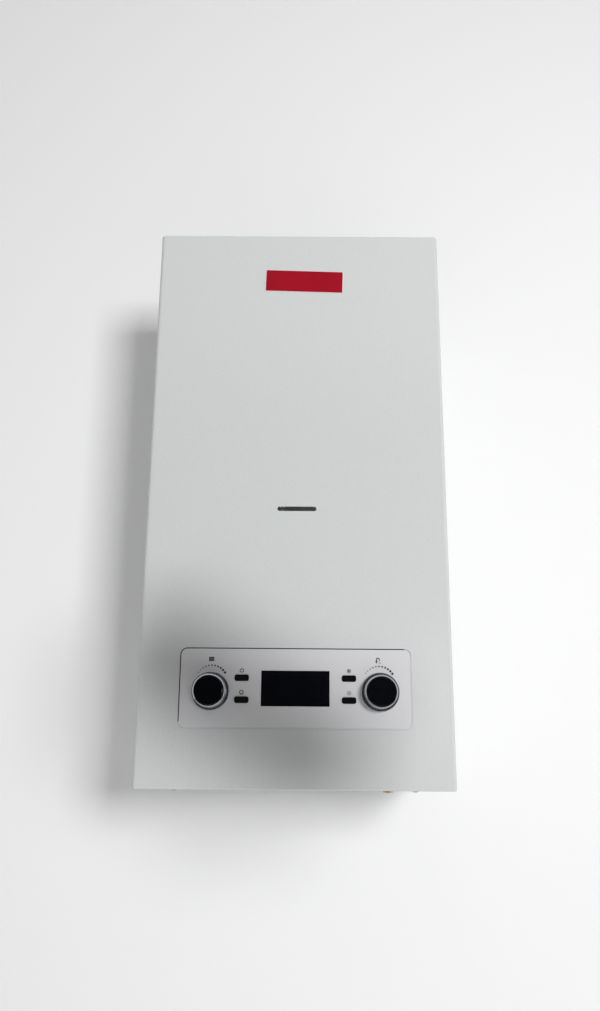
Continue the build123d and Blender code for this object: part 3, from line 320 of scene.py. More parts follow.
# glass-epoxy board, solder masked: green with paler copper tracks under the mask
def makeCircuitBoard():
    look = {"trackMm": 3.2, "mask": "#12492C", "track": "#2A6B45"}
    mat, tree, bsdf, mm = startMaterial("glassEpoxyMasked", IOR=1.55, Roughness=0.35)
    tracks = addNode(tree, "ShaderNodeTexBrick", None, Vector=(mm, 0), Scale=1.0 / (4 * look["trackMm"]),
                     Color1=toLinear(look["mask"]), Color2=toLinear(look["mask"]),
                     Mortar=toLinear(look["track"]))
    turned = addNode(tree, "ShaderNodeCombineXYZ")
    parts = addNode(tree, "ShaderNodeSeparateXYZ", None, i0=(mm, 0))
    tree.links.new(parts.outputs[0], turned.inputs[0])
    tree.links.new(parts.outputs[2], turned.inputs[1])
    tree.links.new(turned.outputs[0], tracks.inputs["Vector"])
    tree.links.new(tracks.outputs[0], bsdf.inputs["Base Color"])
    bump = addNode(tree, "ShaderNodeBump", None, Strength=1.0, Distance=0.00003, Height=(tracks, 1))
    tree.links.new(bump.outputs[0], bsdf.inputs["Normal"])
    return mat


# electrical steel, stamped and riveted in a stack: dark edges of the sheets, half a millimetre each
def makeLaminations():
    look = {"sheetMm": 1.6, "dark": "#4C4D50", "pale": "#85878A"}     # drawn three times as coarse, to show
    mat, tree, bsdf, mm = startMaterial("electricalSteelStacked", Metallic=1.0, Roughness=0.4)
    sheets = addNode(tree, "ShaderNodeTexWave", {"bands_direction": "Y"}, Vector=(mm, 0),
                     Scale=math.pi / (10 * look["sheetMm"]), Distortion=0.2)
    colour = addNode(tree, "ShaderNodeMix", {"data_type": "RGBA"}, i0=(sheets, 1),
                     i6=toLinear(look["dark"]), i7=toLinear(look["pale"]))
    tree.links.new(colour.outputs[2], bsdf.inputs["Base Color"])
    bump = addNode(tree, "ShaderNodeBump", None, Strength=1.0, Distance=0.0001, Height=(sheets, 1))
    tree.links.new(bump.outputs[0], bsdf.inputs["Normal"])
    return mat


slotMaterials = {
    "casing_paint": powderCoat, "galvanised": makeGalvanised(), "aluminised": aluminisedSteel,
    "stainless": stainlessSteel, "zinc_screw": zincPlate, "fascia_plastic": fasciaAbs,
    "box_plastic": tubAbs,
    "black_gloss": blackAcrylic, "key_plastic": keyAbs, "knob_chrome": chromePlate,
    "display_unit": crystalCell,
    "circuit_board": makeCircuitBoard(), "components": componentEpoxy, "glass": clearGlass,
    "fibre": fibreBoard,
    "ceramic": glazedAlumina, "copper": drawnCopper, "brass": pressedBrass, "vessel_paint": redEnamel,
    "cast_aluminium": castAluminium, "pump_casting": paintedIron, "pump_motor": motorNylon,
    "coil_plastic": coilPolyester, "white_plastic": whitePolyamide, "silicone": redSilicone,
    "hose_rubber": hoseRubber, "red_knob": redNylon, "blue_knob": blueNylon,
    "motor_laminations": makeLaminations()}
for part in frame["record"]["subparts"]:
    mesh = nodes[part["node"]].data
    mesh.materials.clear()
    mesh.materials.append(slotMaterials[part["material_slot"]])
print("finishes made:", len(slotMaterials))


# links a mesh made in bmesh, gives it a finish and says what it rides on
def addPiece(name, bm, finish, body="root", smooth=False):
    mesh = bpy.data.meshes.new(name)
    bm.normal_update()
    bm.to_mesh(mesh)
    bm.free()
    piece = bpy.data.objects.new(name, mesh)
    bpy.context.scene.collection.objects.link(piece)
    mesh.materials.append(finish)
    if smooth:
        mesh.shade_smooth()
        mesh.set_sharp_from_angle(angle=math.radians(35))
    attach(piece, body)
    return piece


# a closed outline of (x, z) points, raised from the plane y = back to y = front
def raiseOutline(bm, points, back, front):
    rear = [bm.verts.new((x, back, z)) for x, z in points]
    face = [bm.verts.new((x, front, z)) for x, z in points]
    bm.faces.new(face)
    bm.faces.new(rear[::-1])
    for i in range(len(points)):
        j = (i + 1) % len(points)
        bm.faces.new((rear[i], rear[j], face[j], face[i]))


def ringPoints(x, z, radius, count, start=0.0, end=360.0):
    steps = [math.radians(start + (end - start) * i / count) for i in range(count + (end - start < 360))]
    return [(x + radius * math.cos(a), z + radius * math.sin(a)) for a in steps]


# a flat arc or ring with a width, from one angle to another
def raiseArc(bm, x, z, radius, width, back, front, start=0.0, end=359.9, count=28):
    outer = ringPoints(x, z, radius + width / 2, count, start, end)
    inner = ringPoints(x, z, radius - width / 2, count, start, end)
    raiseOutline(bm, outer + inner[::-1], back, front)


# a straight stroke between two points, as wide as width
def raiseStroke(bm, start, end, width, back, front):
    run = Vector(end) - Vector(start)
    side = Vector((-run.y, run.x)).normalized() * width / 2
    points = [Vector(start) - side, Vector(end) - side, Vector(end) + side, Vector(start) + side]
    raiseOutline(bm, [tuple(p) for p in points], back, front)


def roundedPoints(x, z, width, height, corner, count=6):
    points = []
    for sx, sz, start in ((1, 1, 0), (-1, 1, 90), (-1, -1, 180), (1, -1, 270)):
        cx = x + sx * (width / 2 - corner)
        cz = z + sz * (height / 2 - corner)
        points += ringPoints(cx, cz, corner, count, start, start + 90)
    return points


# turns a profile of (radius, reach) points about the axis, reach being measured from the origin along it
def turnProfile(bm, profile, origin, axis, count=96):
    axis = Vector(axis).normalized()
    side = axis.orthogonal().normalized()
    other = axis.cross(side)
    rings = []
    for radius, reach in profile:
        centre = Vector(origin) + axis * reach
        if radius < 1e-6:
            rings.append([bm.verts.new(centre)])
            continue
        turns = [2 * math.pi * i / count for i in range(count)]
        arms = [math.cos(t) * side + math.sin(t) * other for t in turns]
        rings.append([bm.verts.new(centre + radius * arm) for arm in arms])
    for low, high in zip(rings, rings[1:]):
        for i in range(count):
            j = (i + 1) % count
            corners = [low[i % len(low)], low[j % len(low)], high[j % len(high)], high[i % len(high)]]
            kept = [v for n, v in enumerate(corners) if v not in corners[:n]]
            if len(kept) > 2:
                bm.faces.new(kept)
    bmesh.ops.recalc_face_normals(bm, faces=bm.faces)


# blank crimson plate near the top of the casing, set on a little crooked as the real one is
def makeBadge():
    badge = {"width": 0.1115, "height": 0.0347, "x": 0.0077, "z": -0.0135, "turn": -1.5,
             "thick": 0.0006, "edge": 0.0011, "corner": 0.0006, "step": 0.0002}
    turn = Matrix.Rotation(math.radians(badge["turn"]), 2)
    middle = Vector((badge["x"], badge["z"]))
    for name, inset, lift, finish in (("badge_edge", 0.0, 0.0, paleFoil),
                                      ("badge_plate", badge["edge"], badge["step"], crimsonFoil)):
        width = badge["width"] - 2 * inset
        height = badge["height"] - 2 * inset
        flat = roundedPoints(0, 0, width, height, badge["corner"])
        points = [tuple(middle + turn @ Vector(p)) for p in flat]
        bm = bmesh.new()
        raiseOutline(bm, points, frontY, frontY - badge["thick"] - lift)
        addPiece(name, bm, finish, "casing")


# points of a profile, given as steps away from one radius and reach
def stepsFrom(radius, reach, steps):
    return [(radius + across, reach + along) for across, along in steps]


# knobs: chrome skirt and drum with a bright rim round a glossy black cap
def makeKnobs():
    knob = {"skirt": 0.02425, "skirtThick": 0.0036, "round": 0.0009, "drum": 0.0213, "waist": 0.011,
            "rim": 0.0199, "cap": 0.0177, "floor": 0.0016, "capFoot": 0.0014}
    shape = {"foot": ((-0.0004, 0.0), (0.0, 0.0005)),
             "groove": ((0.0014, 0.0), (0.0009, -0.0006), (0.0003, -0.0006), (0.0, 0.0004)),
             "rim": ((0.0007, -0.0022), (0.0004, -0.0009), (-0.0003, -0.0002), (-0.0011, 0.0)),
             "well": ((0.0012, -0.0002), (0.0006, -0.0009), (0.0004, -0.0016)),
             "capEdge": ((0.0, -0.0009), (-0.0003, -0.0005), (-0.0011, -0.0003)),
             "dome": ((0.75, 0.00012), (0.4, 0.00002), (0.0, 0.0))}
    skirt, thick, drum, cap, r = (knob[key] for key in ("skirt", "skirtThick", "drum", "cap", "round"))
    for name in ("heating_knob", "hot_water_knob"):
        low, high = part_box(name)
        faceLow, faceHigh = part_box(name + "_face")
        origin = Vector(((low.x + high.x) / 2, frontY, (faceLow.z + faceHigh.z) / 2))
        tall = origin.y - low.y
        full = origin.y - faceLow.y
        body = [(0.0, 0.0), *stepsFrom(skirt, 0.0, shape["foot"]), (skirt, thick - r)]
        body += [(skirt - r + r * math.cos(a), thick - r + r * math.sin(a)) for a in (0.4, 0.8, 1.2,
                                                                                      math.pi / 2)]
        body += stepsFrom(drum, thick, shape["groove"])
        body += [(drum - 0.0003, knob["waist"])]
        body += stepsFrom(knob["rim"], tall, shape["rim"])
        body += stepsFrom(cap, tall, shape["well"])
        body += [(0.0, tall - knob["floor"])]
        bm = bmesh.new()
        turnProfile(bm, body, origin, (0, -1, 0))
        turned = addPiece(name + "_drum", bm, chromePlate, name, smooth=True)
        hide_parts(name)
        crown = [(cap, tall - knob["capFoot"]), *stepsFrom(cap, full, shape["capEdge"])]
        crown += [(cap * share, full - sink) for share, sink in shape["dome"]]
        bm = bmesh.new()
        turnProfile(bm, crown, origin, (0, -1, 0))
        face = addPiece(name + "_cap", bm, blackAcrylic, name, smooth=True)
        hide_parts(name + "_face")


# a ring with eight rays round it; laps says how far each ray stands over the ink under it
def raiseRays(bm, sign, back, front, laps):
    x, z = sign["place"]
    raiseArc(bm, x, z, sign["ring"], sign["stroke"], back, front)
    for n, lap in enumerate(laps):
        turn = math.radians(45 * n + sign["offset"])
        start, end = [(x + reach * math.cos(turn), z + reach * math.sin(turn)) for reach in sign["rays"]]
        raiseStroke(bm, start, end, sign["stroke"], back, front - lap)


# marks printed on the fascia: rising dots round each knob and one plain sign over each control
def makeMarks():
    dots = {"count": 11, "arc": 0.0203, "ends": 56.0, "smallest": 0.0006, "largest": 0.0015,
            "x": 0.106, "z": -0.5753, "facets": 20}
    ink = {"thick": 0.00012, "lap": 0.00002, "hair": 0.00001, "stroke": 0.0009}
    y = fasciaFaceY
    front = y - ink["thick"]
    lapped = front - ink["lap"]
    bm = bmesh.new()
    for side in (-1, 1):
        for n in range(dots["count"]):
            share = n / (dots["count"] - 1)
            turn = math.radians(90 + dots["ends"] * (1 - 2 * share))
            radius = dots["smallest"] + (dots["largest"] - dots["smallest"]) * share
            x = side * dots["x"] + dots["arc"] * math.cos(turn)
            z = dots["z"] + dots["arc"] * math.sin(turn)
            raiseOutline(bm, ringPoints(x, z, radius, dots["facets"]), y, front)
    addPiece("knob_dots", bm, padInk)

    # radiator: five bars with two rails across
    bars = {"place": (-0.1066, -0.5472), "pitch": 0.00138, "wide": 0.00105, "tall": 0.0055,
            "corner": 0.0003,
            "rise": 0.0017, "railWide": 0.0066, "railTall": 0.0009, "railCorner": 0.0002}
    x, z = bars["place"]
    bm = bmesh.new()
    for n in range(5):
        across = x + (n - 2) * bars["pitch"]
        raiseOutline(bm, roundedPoints(across, z, bars["wide"], bars["tall"], bars["corner"], 2), y, front)
    for rise in (-bars["rise"], bars["rise"]):
        rail = roundedPoints(x, z + rise, bars["railWide"], bars["railTall"], bars["railCorner"], 2)
        raiseOutline(bm, rail, y, lapped)
    addPiece("heating_sign", bm, padInk)

    # tap: a stem, the bend and mouth of its spout, a handle across and three drops
    tap = {"place": (0.1055, -0.548), "stroke": 0.0011, "thin": 0.0009, "bend": (-0.0008, 0.0016),
           "bendRadius": 0.0018, "drop": 0.00045, "stem": ((-0.0026, -0.0032), (-0.0026, 0.0016)),
           "mouth": ((0.001, 0.0017), (0.001, -0.0002)), "handle": ((-0.0042, -0.0008), (-0.001, -0.0008)),
           "drops": ((0.0012, -0.002), (0.0026, -0.0031), (0.0004, -0.0036))}
    x, z = tap["place"]
    spots = {key: [(x + dx, z + dz) for dx, dz in tap[key]] for key in ("stem", "mouth", "handle", "drops")}
    bm = bmesh.new()
    raiseStroke(bm, *spots["stem"], tap["stroke"], y, front)
    bendX, bendZ = x + tap["bend"][0], z + tap["bend"][1]
    raiseArc(bm, bendX, bendZ, tap["bendRadius"], tap["stroke"], y, front, 0, 180, 14)
    raiseStroke(bm, *spots["mouth"], tap["stroke"], y, front)
    raiseStroke(bm, *spots["handle"], tap["thin"], y, lapped)
    for spot in spots["drops"]:
        raiseOutline(bm, ringPoints(*spot, tap["drop"], 12), y, front)
    addPiece("tap_sign", bm, padInk)

    power = {"place": (-0.0678, -0.5611), "ring": 0.0023, "start": 125, "end": 415, "stem": (0.0003, 0.003)}
    x, z = power["place"]
    bm = bmesh.new()
    raiseArc(bm, x, z, power["ring"], ink["stroke"], y, front, power["start"], power["end"])
    foot, top = power["stem"]
    raiseStroke(bm, (x, z + foot), (x, z + top), ink["stroke"], y, lapped)
    addPiece("power_sign", bm, padInk)

    # cog
    mode = {"place": (-0.0678, -0.5883), "ring": 0.0021, "rays": (0.0024, 0.0031), "stroke": 0.0009,
            "offset": 22.5}
    bm = bmesh.new()
    raiseRays(bm, mode, y, front, [ink["lap"]] * 8)
    addPiece("mode_sign", bm, padInk)

    # snowflake: six arms, each with a pair of twigs
    winter = {"place": (0.0678, -0.5611), "arm": 0.0029, "armWide": 0.00055, "fork": 0.55, "twig": 0.0011,
              "twigWide": 0.0005, "lean": 50}
    x, z = winter["place"]
    bm = bmesh.new()
    for n in range(6):
        turn = math.radians(60 * n + 90)
        tip = Vector((x + winter["arm"] * math.cos(turn), z + winter["arm"] * math.sin(turn)))
        raiseStroke(bm, (x, z), tuple(tip), winter["armWide"], y, front - ink["hair"] * n)
        elbow = Vector((x, z)).lerp(tip, winter["fork"])
        for lean in (-winter["lean"], winter["lean"]):
            twig = math.radians(60 * n + 90 + lean)
            end = (elbow.x + winter["twig"] * math.cos(twig), elbow.y + winter["twig"] * math.sin(twig))
            raiseStroke(bm, tuple(elbow), end, winter["twigWide"], y, front - ink["hair"] * (n + 7))
    addPiece("winter_sign", bm, padInk)

    # sun
    summer = {"place": (0.0678, -0.5883), "ring": 0.0014, "rays": (0.0021, 0.0031), "stroke": 0.0006,
              "offset": 0}
    bm = bmesh.new()
    raiseRays(bm, summer, y, front, [ink["hair"] * n for n in range(8)])
    addPiece("summer_sign", bm, padInk)


# the joint round the fascia, which sits a little low and right in its opening: along the top and left a dark
# strip paints the shadow in the gap, and along the right and bottom a pale lip closes the gap
def makeFasciaJoint():
    joint = {"flange": 0.005, "gap": 0.0006, "corner": 0.0083, "darkOver": 0.0005, "paleOver": 0.0002,
             "proud": 0.00005, "flush": 0.00002, "reach": 0.9}
    low, high = fasciaBox
    # joint_shade is painted shade, a near-black strip standing for the gap's shadow; joint_lip is plain
    # fascia plastic
    sides = (("joint_shade", True, joint["darkOver"], fasciaFaceY - joint["proud"], gapShade),
             ("joint_lip", False, joint["paleOver"], frontY + joint["flush"], fasciaAbs))
    for name, upper, over, front, finish in sides:
        width = joint["gap"] + over
        out = joint["gap"] - width / 2
        corner = joint["corner"] + out
        inset = joint["flange"] - out
        left, right = low.x + inset, high.x - inset
        foot, top = low.z + inset, high.z - inset
        sideX, levelZ = (left, top) if upper else (right, foot)
        cornerX, cornerZ = (left + corner, top - corner) if upper else (right - corner, foot + corner)
        farX = right - corner * joint["reach"] if upper else left + corner * joint["reach"]
        farZ = foot + corner * joint["reach"] if upper else top - corner * joint["reach"]
        start = 90 if upper else 270
        bm = bmesh.new()
        raiseArc(bm, cornerX, cornerZ, corner, width, fasciaFaceY, front, start, start + 90, 12)
        raiseStroke(bm, (cornerX, levelZ), (farX, levelZ), width, fasciaFaceY, front)
        raiseStroke(bm, (sideX, cornerZ), (sideX, farZ), width, fasciaFaceY, front)
        bmesh.ops.recalc_face_normals(bm, faces=bm.faces)
        addPiece(name, bm, finish)


makeBadge()
makeKnobs()
makeMarks()
makeFasciaJoint()
print("badge, knobs and marks placed")


# frame around the display: a pale moulded reveal outside, and the faint printed border under the glass
def makeWindowTrim():
    trim = {"reveal": 0.0008, "stand": 0.00012, "borderInset": 0.0035, "borderLine": 0.0003,
            "borderStand": 0.00004, "gap": 0.0003}
    low, high = windowBox
    x, z = (low.x + high.x) / 2, (low.z + high.z) / 2
    width, height = high.x - low.x, high.z - low.z
    grown = 2 * trim["gap"] + 2 * trim["reveal"]
    rings = (("window_reveal", width + grown, height + grown, trim["reveal"], fasciaFaceY, trim["stand"],
              fasciaAbs),
             ("display_border", width - 2 * trim["borderInset"], height - 2 * trim["borderInset"],
              trim["borderLine"], low.y, trim["borderStand"], borderInk))
    for name, wide, tall, line, back, stand, finish in rings:
        bm = bmesh.new()
        for side in (-1, 1):
            acrossZ = z + side * (tall - line) / 2
            uprightX = x + side * (wide - line) / 2
            raiseStroke(bm, (x - wide / 2, acrossZ), (x + wide / 2, acrossZ), line, back, back - stand)
            raiseStroke(bm, (uprightX, z - tall / 2 + line), (uprightX, z + tall / 2 - line), line, back,
                        back - stand)
        addPiece(name, bm, finish)


# low truss-headed screws wherever sheet is fixed to sheet; their cross recess is not cut but shown as a dark
# cross of painted shade
def makeScrews():
    head = {"rise": 0.42, "recess": 0.62, "slot": 0.2, "seat": 0.96, "step": 0.06}
    cover = {"x": 0.15, "y": -0.285, "z": -0.7053}
    flange = {"half": 0.06, "middle": 0.07, "thick": 0.002}
    panel = {"x": 0.104, "heights": (-0.245, -0.31, -0.378), "thick": 0.002}
    scroll = {"x": -0.05, "z": -0.05, "circle": 0.058, "first": 200, "apart": 62}
    lid = {"x": 0.026, "inset": 0.009}
    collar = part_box("air_collar")
    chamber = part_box("chamber_front_panel")
    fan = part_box("fan_housing")
    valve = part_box("gas_valve")
    fanTurns = [math.radians(scroll["first"] + scroll["apart"] * n) for n in range(5)]
    groups = {
        "cover": (0.0045, (0, 0, -1), [(x, cover["y"], cover["z"]) for x in (-cover["x"], cover["x"])]),
        "collar": (0.0034, (0, 0, 1), [(x, collar[0].y + flange["middle"] + y,
                                        collar[0].z + flange["thick"])
                                       for x in (-flange["half"], flange["half"])
                                       for y in (-flange["half"], flange["half"])]),
        "chamber": (0.0034, (0, -1, 0), [(x, chamber[0].y + panel["thick"], z)
                                         for x in (-panel["x"], panel["x"]) for z in panel["heights"]]),
        "fan": (0.0028, (0, -1, 0), [(scroll["x"] + scroll["circle"] * math.cos(turn), fan[0].y,
                                      scroll["z"] + scroll["circle"] * math.sin(turn)) for turn in fanTurns]),
        "valve": (0.0029, (0, -1, 0), [(x, valve[0].y, z) for x in (-lid["x"], lid["x"])
                                       for z in (valve[0].z + lid["inset"], valve[1].z - lid["inset"])])}
    for group, (radius, axis, origins) in groups.items():
        heads = bmesh.new()
        marks = bmesh.new()
        tall = radius * head["rise"]
        out = Vector(axis)
        side = out.orthogonal().normalized()
        curve = [(radius * math.cos(a), tall * math.sin(a)) for a in (0.0, 0.3, 0.6, 0.9, 1.2, 1.45)]
        for origin in origins:
            turnProfile(heads, [(radius, 0.0), *curve, (0.0, tall)], origin, axis, 32)
            # painted shade: two dark bars stand just proud of the head where the recess's shaded bottom would
            # be
            centre = Vector(origin) + out * tall * head["seat"]
            for arm in (side, out.cross(side)):
                wide = out.cross(arm) * radius * head["slot"] / 2
                long = arm * radius * head["recess"]
                corners = [centre - long - wide, centre + long - wide, centre + long + wide,
                           centre - long + wide]
                base = [marks.verts.new(c) for c in corners]
                top = [marks.verts.new(c + out * tall * head["step"]) for c in corners]
                marks.faces.new(top)
                marks.faces.new(base[::-1])
                for i in range(4):
                    j = (i + 1) % 4
                    marks.faces.new((base[i], base[j], top[j], top[i]))
        bmesh.ops.recalc_face_normals(marks, faces=marks.faces)
        piece = addPiece(group + "_screw_heads", heads, zincPlate, smooth=True)
        # the recess pieces are painted shade, dark crosses standing for the recesses' shadow
        addPiece(group + "_screw_recess_shade", marks, recessShade)
        if group == "cover":
            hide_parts("casing_screws")


# union stubs under the boiler: cut threads below a hexagon, with an open bore
def makeStubs():
    stub = {"pitch": 0.0018, "depth": 0.00085, "bore": 0.72, "hexMargin": 0.004, "apart": 0.065, "y": -0.11,
            "radii": (0.0132, 0.0105, 0.0132, 0.0105, 0.0132), "boreDepth": 0.01, "ease": 0.0006,
            "plain": 0.002}
    low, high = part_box("pipe_stubs")
    shoulder = -0.706
    threaded = shoulder - low.z
    bm = bmesh.new()
    for n, radius in enumerate(stub["radii"]):
        x = (n - 2) * stub["apart"]
        bore = radius * stub["bore"]
        root = radius - stub["depth"]
        profile = [(bore, stub["boreDepth"]), (bore, stub["ease"]), (bore + stub["ease"], 0.0), (root, 0.0)]
        for turn in range(int((threaded - stub["plain"]) / stub["pitch"])):
            start = stub["ease"] + turn * stub["pitch"]
            profile += [(radius, start + stub["pitch"] * 0.4), (radius, start + stub["pitch"] * 0.55),
                        (root, start + stub["pitch"] * 0.95)]
        profile += [(root, threaded), (0.0, threaded)]
        turnProfile(bm, profile, (x, stub["y"], low.z), (0, 0, 1), 48)
        addHexagon(bm, (x, stub["y"]), radius + stub["hexMargin"], shoulder, high.z)
    piece = addPiece("threaded_stubs", bm, pressedBrass, smooth=True)
    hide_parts("pipe_stubs")


# an upright hexagon prism with rounded-off upper and lower corners
def addHexagon(bm, place, radius, lowZ, highZ, hollow=0.0):
    x, y = place
    ease = min(0.001, (highZ - lowZ) * 0.2)
    rings = []
    for reach, z in ((radius - ease, lowZ), (radius, lowZ + ease), (radius, highZ - ease),
                     (radius - ease, highZ)):
        points = ringPoints(x, y, reach, 6, 0.0, 360.0)
        rings.append([bm.verts.new((px, py, z)) for px, py in points])
    for lower, upper in zip(rings, rings[1:]):
        for i in range(6):
            j = (i + 1) % 6
            bm.faces.new((lower[i], lower[j], upper[j], upper[i]))
    if hollow:
        inner = [[bm.verts.new((px, py, z)) for px, py in ringPoints(x, y, hollow, 24)] for z in (lowZ,
                                                                                                  highZ)]
        for outer, ring, flip in ((rings[0], inner[0], True), (rings[-1], inner[1], False)):
            for i in range(24):
                j = (i + 1) % 24
                corner, other = outer[(i // 4) % 6], outer[((i + 1) // 4) % 6]
                face = [ring[j], ring[i], corner] if corner is other else [ring[j], ring[i], corner, other]
                bm.faces.new(face if flip else face[::-1])
        for i in range(24):
            j = (i + 1) % 24
            bm.faces.new((inner[0][j], inner[0][i], inner[1][i], inner[1][j]))
    else:
        bm.faces.new(rings[0][::-1])
        bm.faces.new(rings[-1])


# brass union nuts where the copper pipes meet the blocks, the exchanger, the valve and the manifold
def makeNuts():
    nut = {"radius": 0.0145, "height": 0.012, "hole": 0.0091, "off": 0.0004, "x": 0.13, "y": -0.11,
           "burnerY": -0.276}
    left, right, middle = (-nut["x"], nut["y"]), (nut["x"], nut["y"]), (0.0, nut["y"])
    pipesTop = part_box("heating_pipes")[1].z
    ends = [(left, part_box("flow_block")[1].z, 1), (right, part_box("pump_housing")[1].z, 1),
            (left, pipesTop, -1), (right, pipesTop, -1),
            (middle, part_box("pipe_stubs")[1].z, 1), (middle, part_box("gas_valve")[0].z, -1),
            ((0.0, nut["burnerY"]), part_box("gas_manifold")[0].z, -1)]
    bm = bmesh.new()
    for place, z, way in ends:
        start = z + way * nut["off"]
        low, high = sorted((start, start + way * nut["height"]))
        addHexagon(bm, place, nut["radius"], low, high, nut["hole"])
    bmesh.ops.recalc_face_normals(bm, faces=bm.faces)
    addPiece("union_nuts", bm, pressedBrass)


# small parts of the works: vessel seam and charging valve, motor windings, electrode boots, switch ribs
def makeWorksDetails():
    facing = (0, -1, 0)
    seam = {"proud": 0.003, "corner": 0.0615, "back": 0.031, "front": 0.0345}
    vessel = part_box("expansion_vessel")
    x, z = (vessel[0].x + vessel[1].x) / 2, (vessel[0].z + vessel[1].z) / 2
    wide = vessel[1].x - vessel[0].x + seam["proud"]
    tall = vessel[1].z - vessel[0].z + seam["proud"]
    bm = bmesh.new()
    raiseOutline(bm, roundedPoints(x, z, wide, tall, seam["corner"], 12),
                 vessel[1].y - seam["back"], vessel[1].y - seam["front"])
    addPiece("vessel_seam", bm, redEnamel)

    charging = {"x": 0.09, "z": -0.08, "profile": ((0.006, 0.0), (0.006, 0.0015), (0.0038, 0.002),
                                                   (0.0038, 0.007),
                                                   (0.0034, 0.0076), (0.0, 0.0076))}
    bm = bmesh.new()
    turnProfile(bm, charging["profile"], (x + charging["x"], vessel[0].y, z + charging["z"]), facing, 32)
    addPiece("charging_valve", bm, pressedBrass, smooth=True)

    winding = {"rise": 0.0095, "wide": 0.034, "tall": 0.016, "corner": 0.005, "back": 0.011,
               "front": 0.0035}
    fan = {"x": -0.05, "z": -0.05, "cap": ((0.0, 0.0), (0.008, 0.0), (0.008, 0.0022), (0.0065, 0.003),
                                           (0.0, 0.003))}
    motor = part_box("fan_motor")
    bm = bmesh.new()
    coil = roundedPoints(fan["x"], motor[0].z + winding["rise"], winding["wide"], winding["tall"],
                         winding["corner"], 5)
    raiseOutline(bm, coil, motor[1].y - winding["back"], motor[0].y + winding["front"])
    addPiece("fan_windings", bm, windingEnamel)
    bm = bmesh.new()
    turnProfile(bm, fan["cap"], (fan["x"], motor[0].y, fan["z"]), facing, 40)
    addPiece("fan_bearing_cap", bm, zincPlate, smooth=True)

    boot = {"places": (-0.04, -0.026, 0.04), "z": -0.365,
            "profile": ((0.0, -0.004), (0.0047, -0.004), (0.0049, -0.003), (0.0049, 0.002),
                        (0.0036, 0.0034),
                        (0.0034, 0.0058), (0.0026, 0.0066), (0.0, 0.0066))}
    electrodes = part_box("electrodes")
    bm = bmesh.new()
    for x in boot["places"]:
        turnProfile(bm, boot["profile"], (x, electrodes[0].y, boot["z"]), facing, 28)
    addPiece("electrode_boots", bm, redSilicone, smooth=True)

    rib = {"radii": (0.0245, 0.017, 0.0095), "x": 0.12, "z": -0.015,
           "steps": ((-0.0012, -0.0003), (-0.0009, 0.0007), (0.0009, 0.0007), (0.0012, -0.0003))}
    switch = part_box("air_pressure_switch")
    bm = bmesh.new()
    for radius in rib["radii"]:
        turnProfile(bm, stepsFrom(radius, 0.0, rib["steps"]), (rib["x"], switch[0].y, rib["z"]), facing, 48)
    addPiece("switch_ribs", bm, whitePolyamide, smooth=True)

    plug = {"x": 0.13, "z": -0.595, "profile": ((0.0125, 0.0), (0.0125, 0.0012), (0.0115, 0.0018),
                                                (0.0085, 0.0018),
                                                (0.008, 0.0012), (0.0, 0.0012)),
            "ribs": 24, "from": 0.022, "to": 0.0375, "wide": 0.0016, "rise": 0.0012}
    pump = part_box("pump_motor")
    bm = bmesh.new()
    turnProfile(bm, plug["profile"], (plug["x"], pump[0].y, plug["z"]), facing, 48)
    for n in range(plug["ribs"]):
        turn = math.radians(360 / plug["ribs"] * n)
        start, end = [(plug["x"] + reach * math.cos(turn), plug["z"] + reach * math.sin(turn))
                      for reach in (plug["from"], plug["to"])]
        raiseStroke(bm, start, end, plug["wide"], pump[0].y, pump[0].y - plug["rise"])
    bmesh.ops.recalc_face_normals(bm, faces=bm.faces)
    addPiece("pump_vent_plug_and_ribs", bm, motorNylon)


makeWindowTrim()
makeScrews()
makeStubs()
makeNuts()
makeWorksDetails()
print("trim, screws, threads, nuts and small works placed")


# a pale wall behind and a floor far below; seen straight on they stay white and keep the soft shadow
def makeStage():
    stage = {"wallWidth": 6.0, "wallTop": 3.0, "floorZ": -1.9, "depth": 5.0, "paint": "#EFEFEF", "lift": 0.1}
    mat = bpy.data.materials.new("wallEmulsionRolled")
    mat.use_nodes = True
    tree = mat.node_tree
    tree.nodes.clear()
    out = addNode(tree, "ShaderNodeOutputMaterial")
    paint = addNode(tree, "ShaderNodeBsdfDiffuse", None, Color=toLinear(stage["paint"]))
    glow = addNode(tree, "ShaderNodeEmission", None, Color=(1.0, 1.0, 1.0, 1.0))
    rays = addNode(tree, "ShaderNodeLightPath")
    seen = addNode(tree, "ShaderNodeMath", {"operation": "MAXIMUM"}, i0=(rays, "Is Camera Ray"),
                   i1=(rays, "Is Glossy Ray"))
    allSeen = addNode(tree, "ShaderNodeMath", {"operation": "MAXIMUM"}, i0=(seen, 0),
                      i1=(rays, "Is Transmission Ray"))
    power = addNode(tree, "ShaderNodeMath", {"operation": "MULTIPLY"}, i0=(allSeen, 0), i1=stage["lift"])
    tree.links.new(power.outputs[0], glow.inputs["Strength"])
    both = addNode(tree, "ShaderNodeAddShader", None, i0=(paint, 0), i1=(glow, 0))
    clear = addNode(tree, "ShaderNodeBsdfTransparent")
    side = addNode(tree, "ShaderNodeNewGeometry")
    pick = addNode(tree, "ShaderNodeMixShader", None, i0=(side, "Backfacing"), i1=(both, 0), i2=(clear, 0))
    tree.links.new(pick.outputs[0], out.inputs[0])
    half = stage["wallWidth"] / 2
    planes = {
        "wall": [(-half, 0.0006, stage["floorZ"]), (half, 0.0006, stage["floorZ"]),
                 (half, 0.0006, stage["wallTop"]), (-half, 0.0006, stage["wallTop"])],
        "floor": [(-half, -stage["depth"], stage["floorZ"]), (half, -stage["depth"], stage["floorZ"]),
                  (half, stage["depth"], stage["floorZ"]), (-half, stage["depth"], stage["floorZ"])]}
    for name, corners in planes.items():
        bm = bmesh.new()
        bm.faces.new([bm.verts.new(c) for c in corners])
        mesh = bpy.data.meshes.new(name)
        bm.to_mesh(mesh)
        bm.free()
        mesh.materials.append(mat)
        plane = bpy.data.objects.new(name, mesh)
        bpy.context.scene.collection.objects.link(plane)


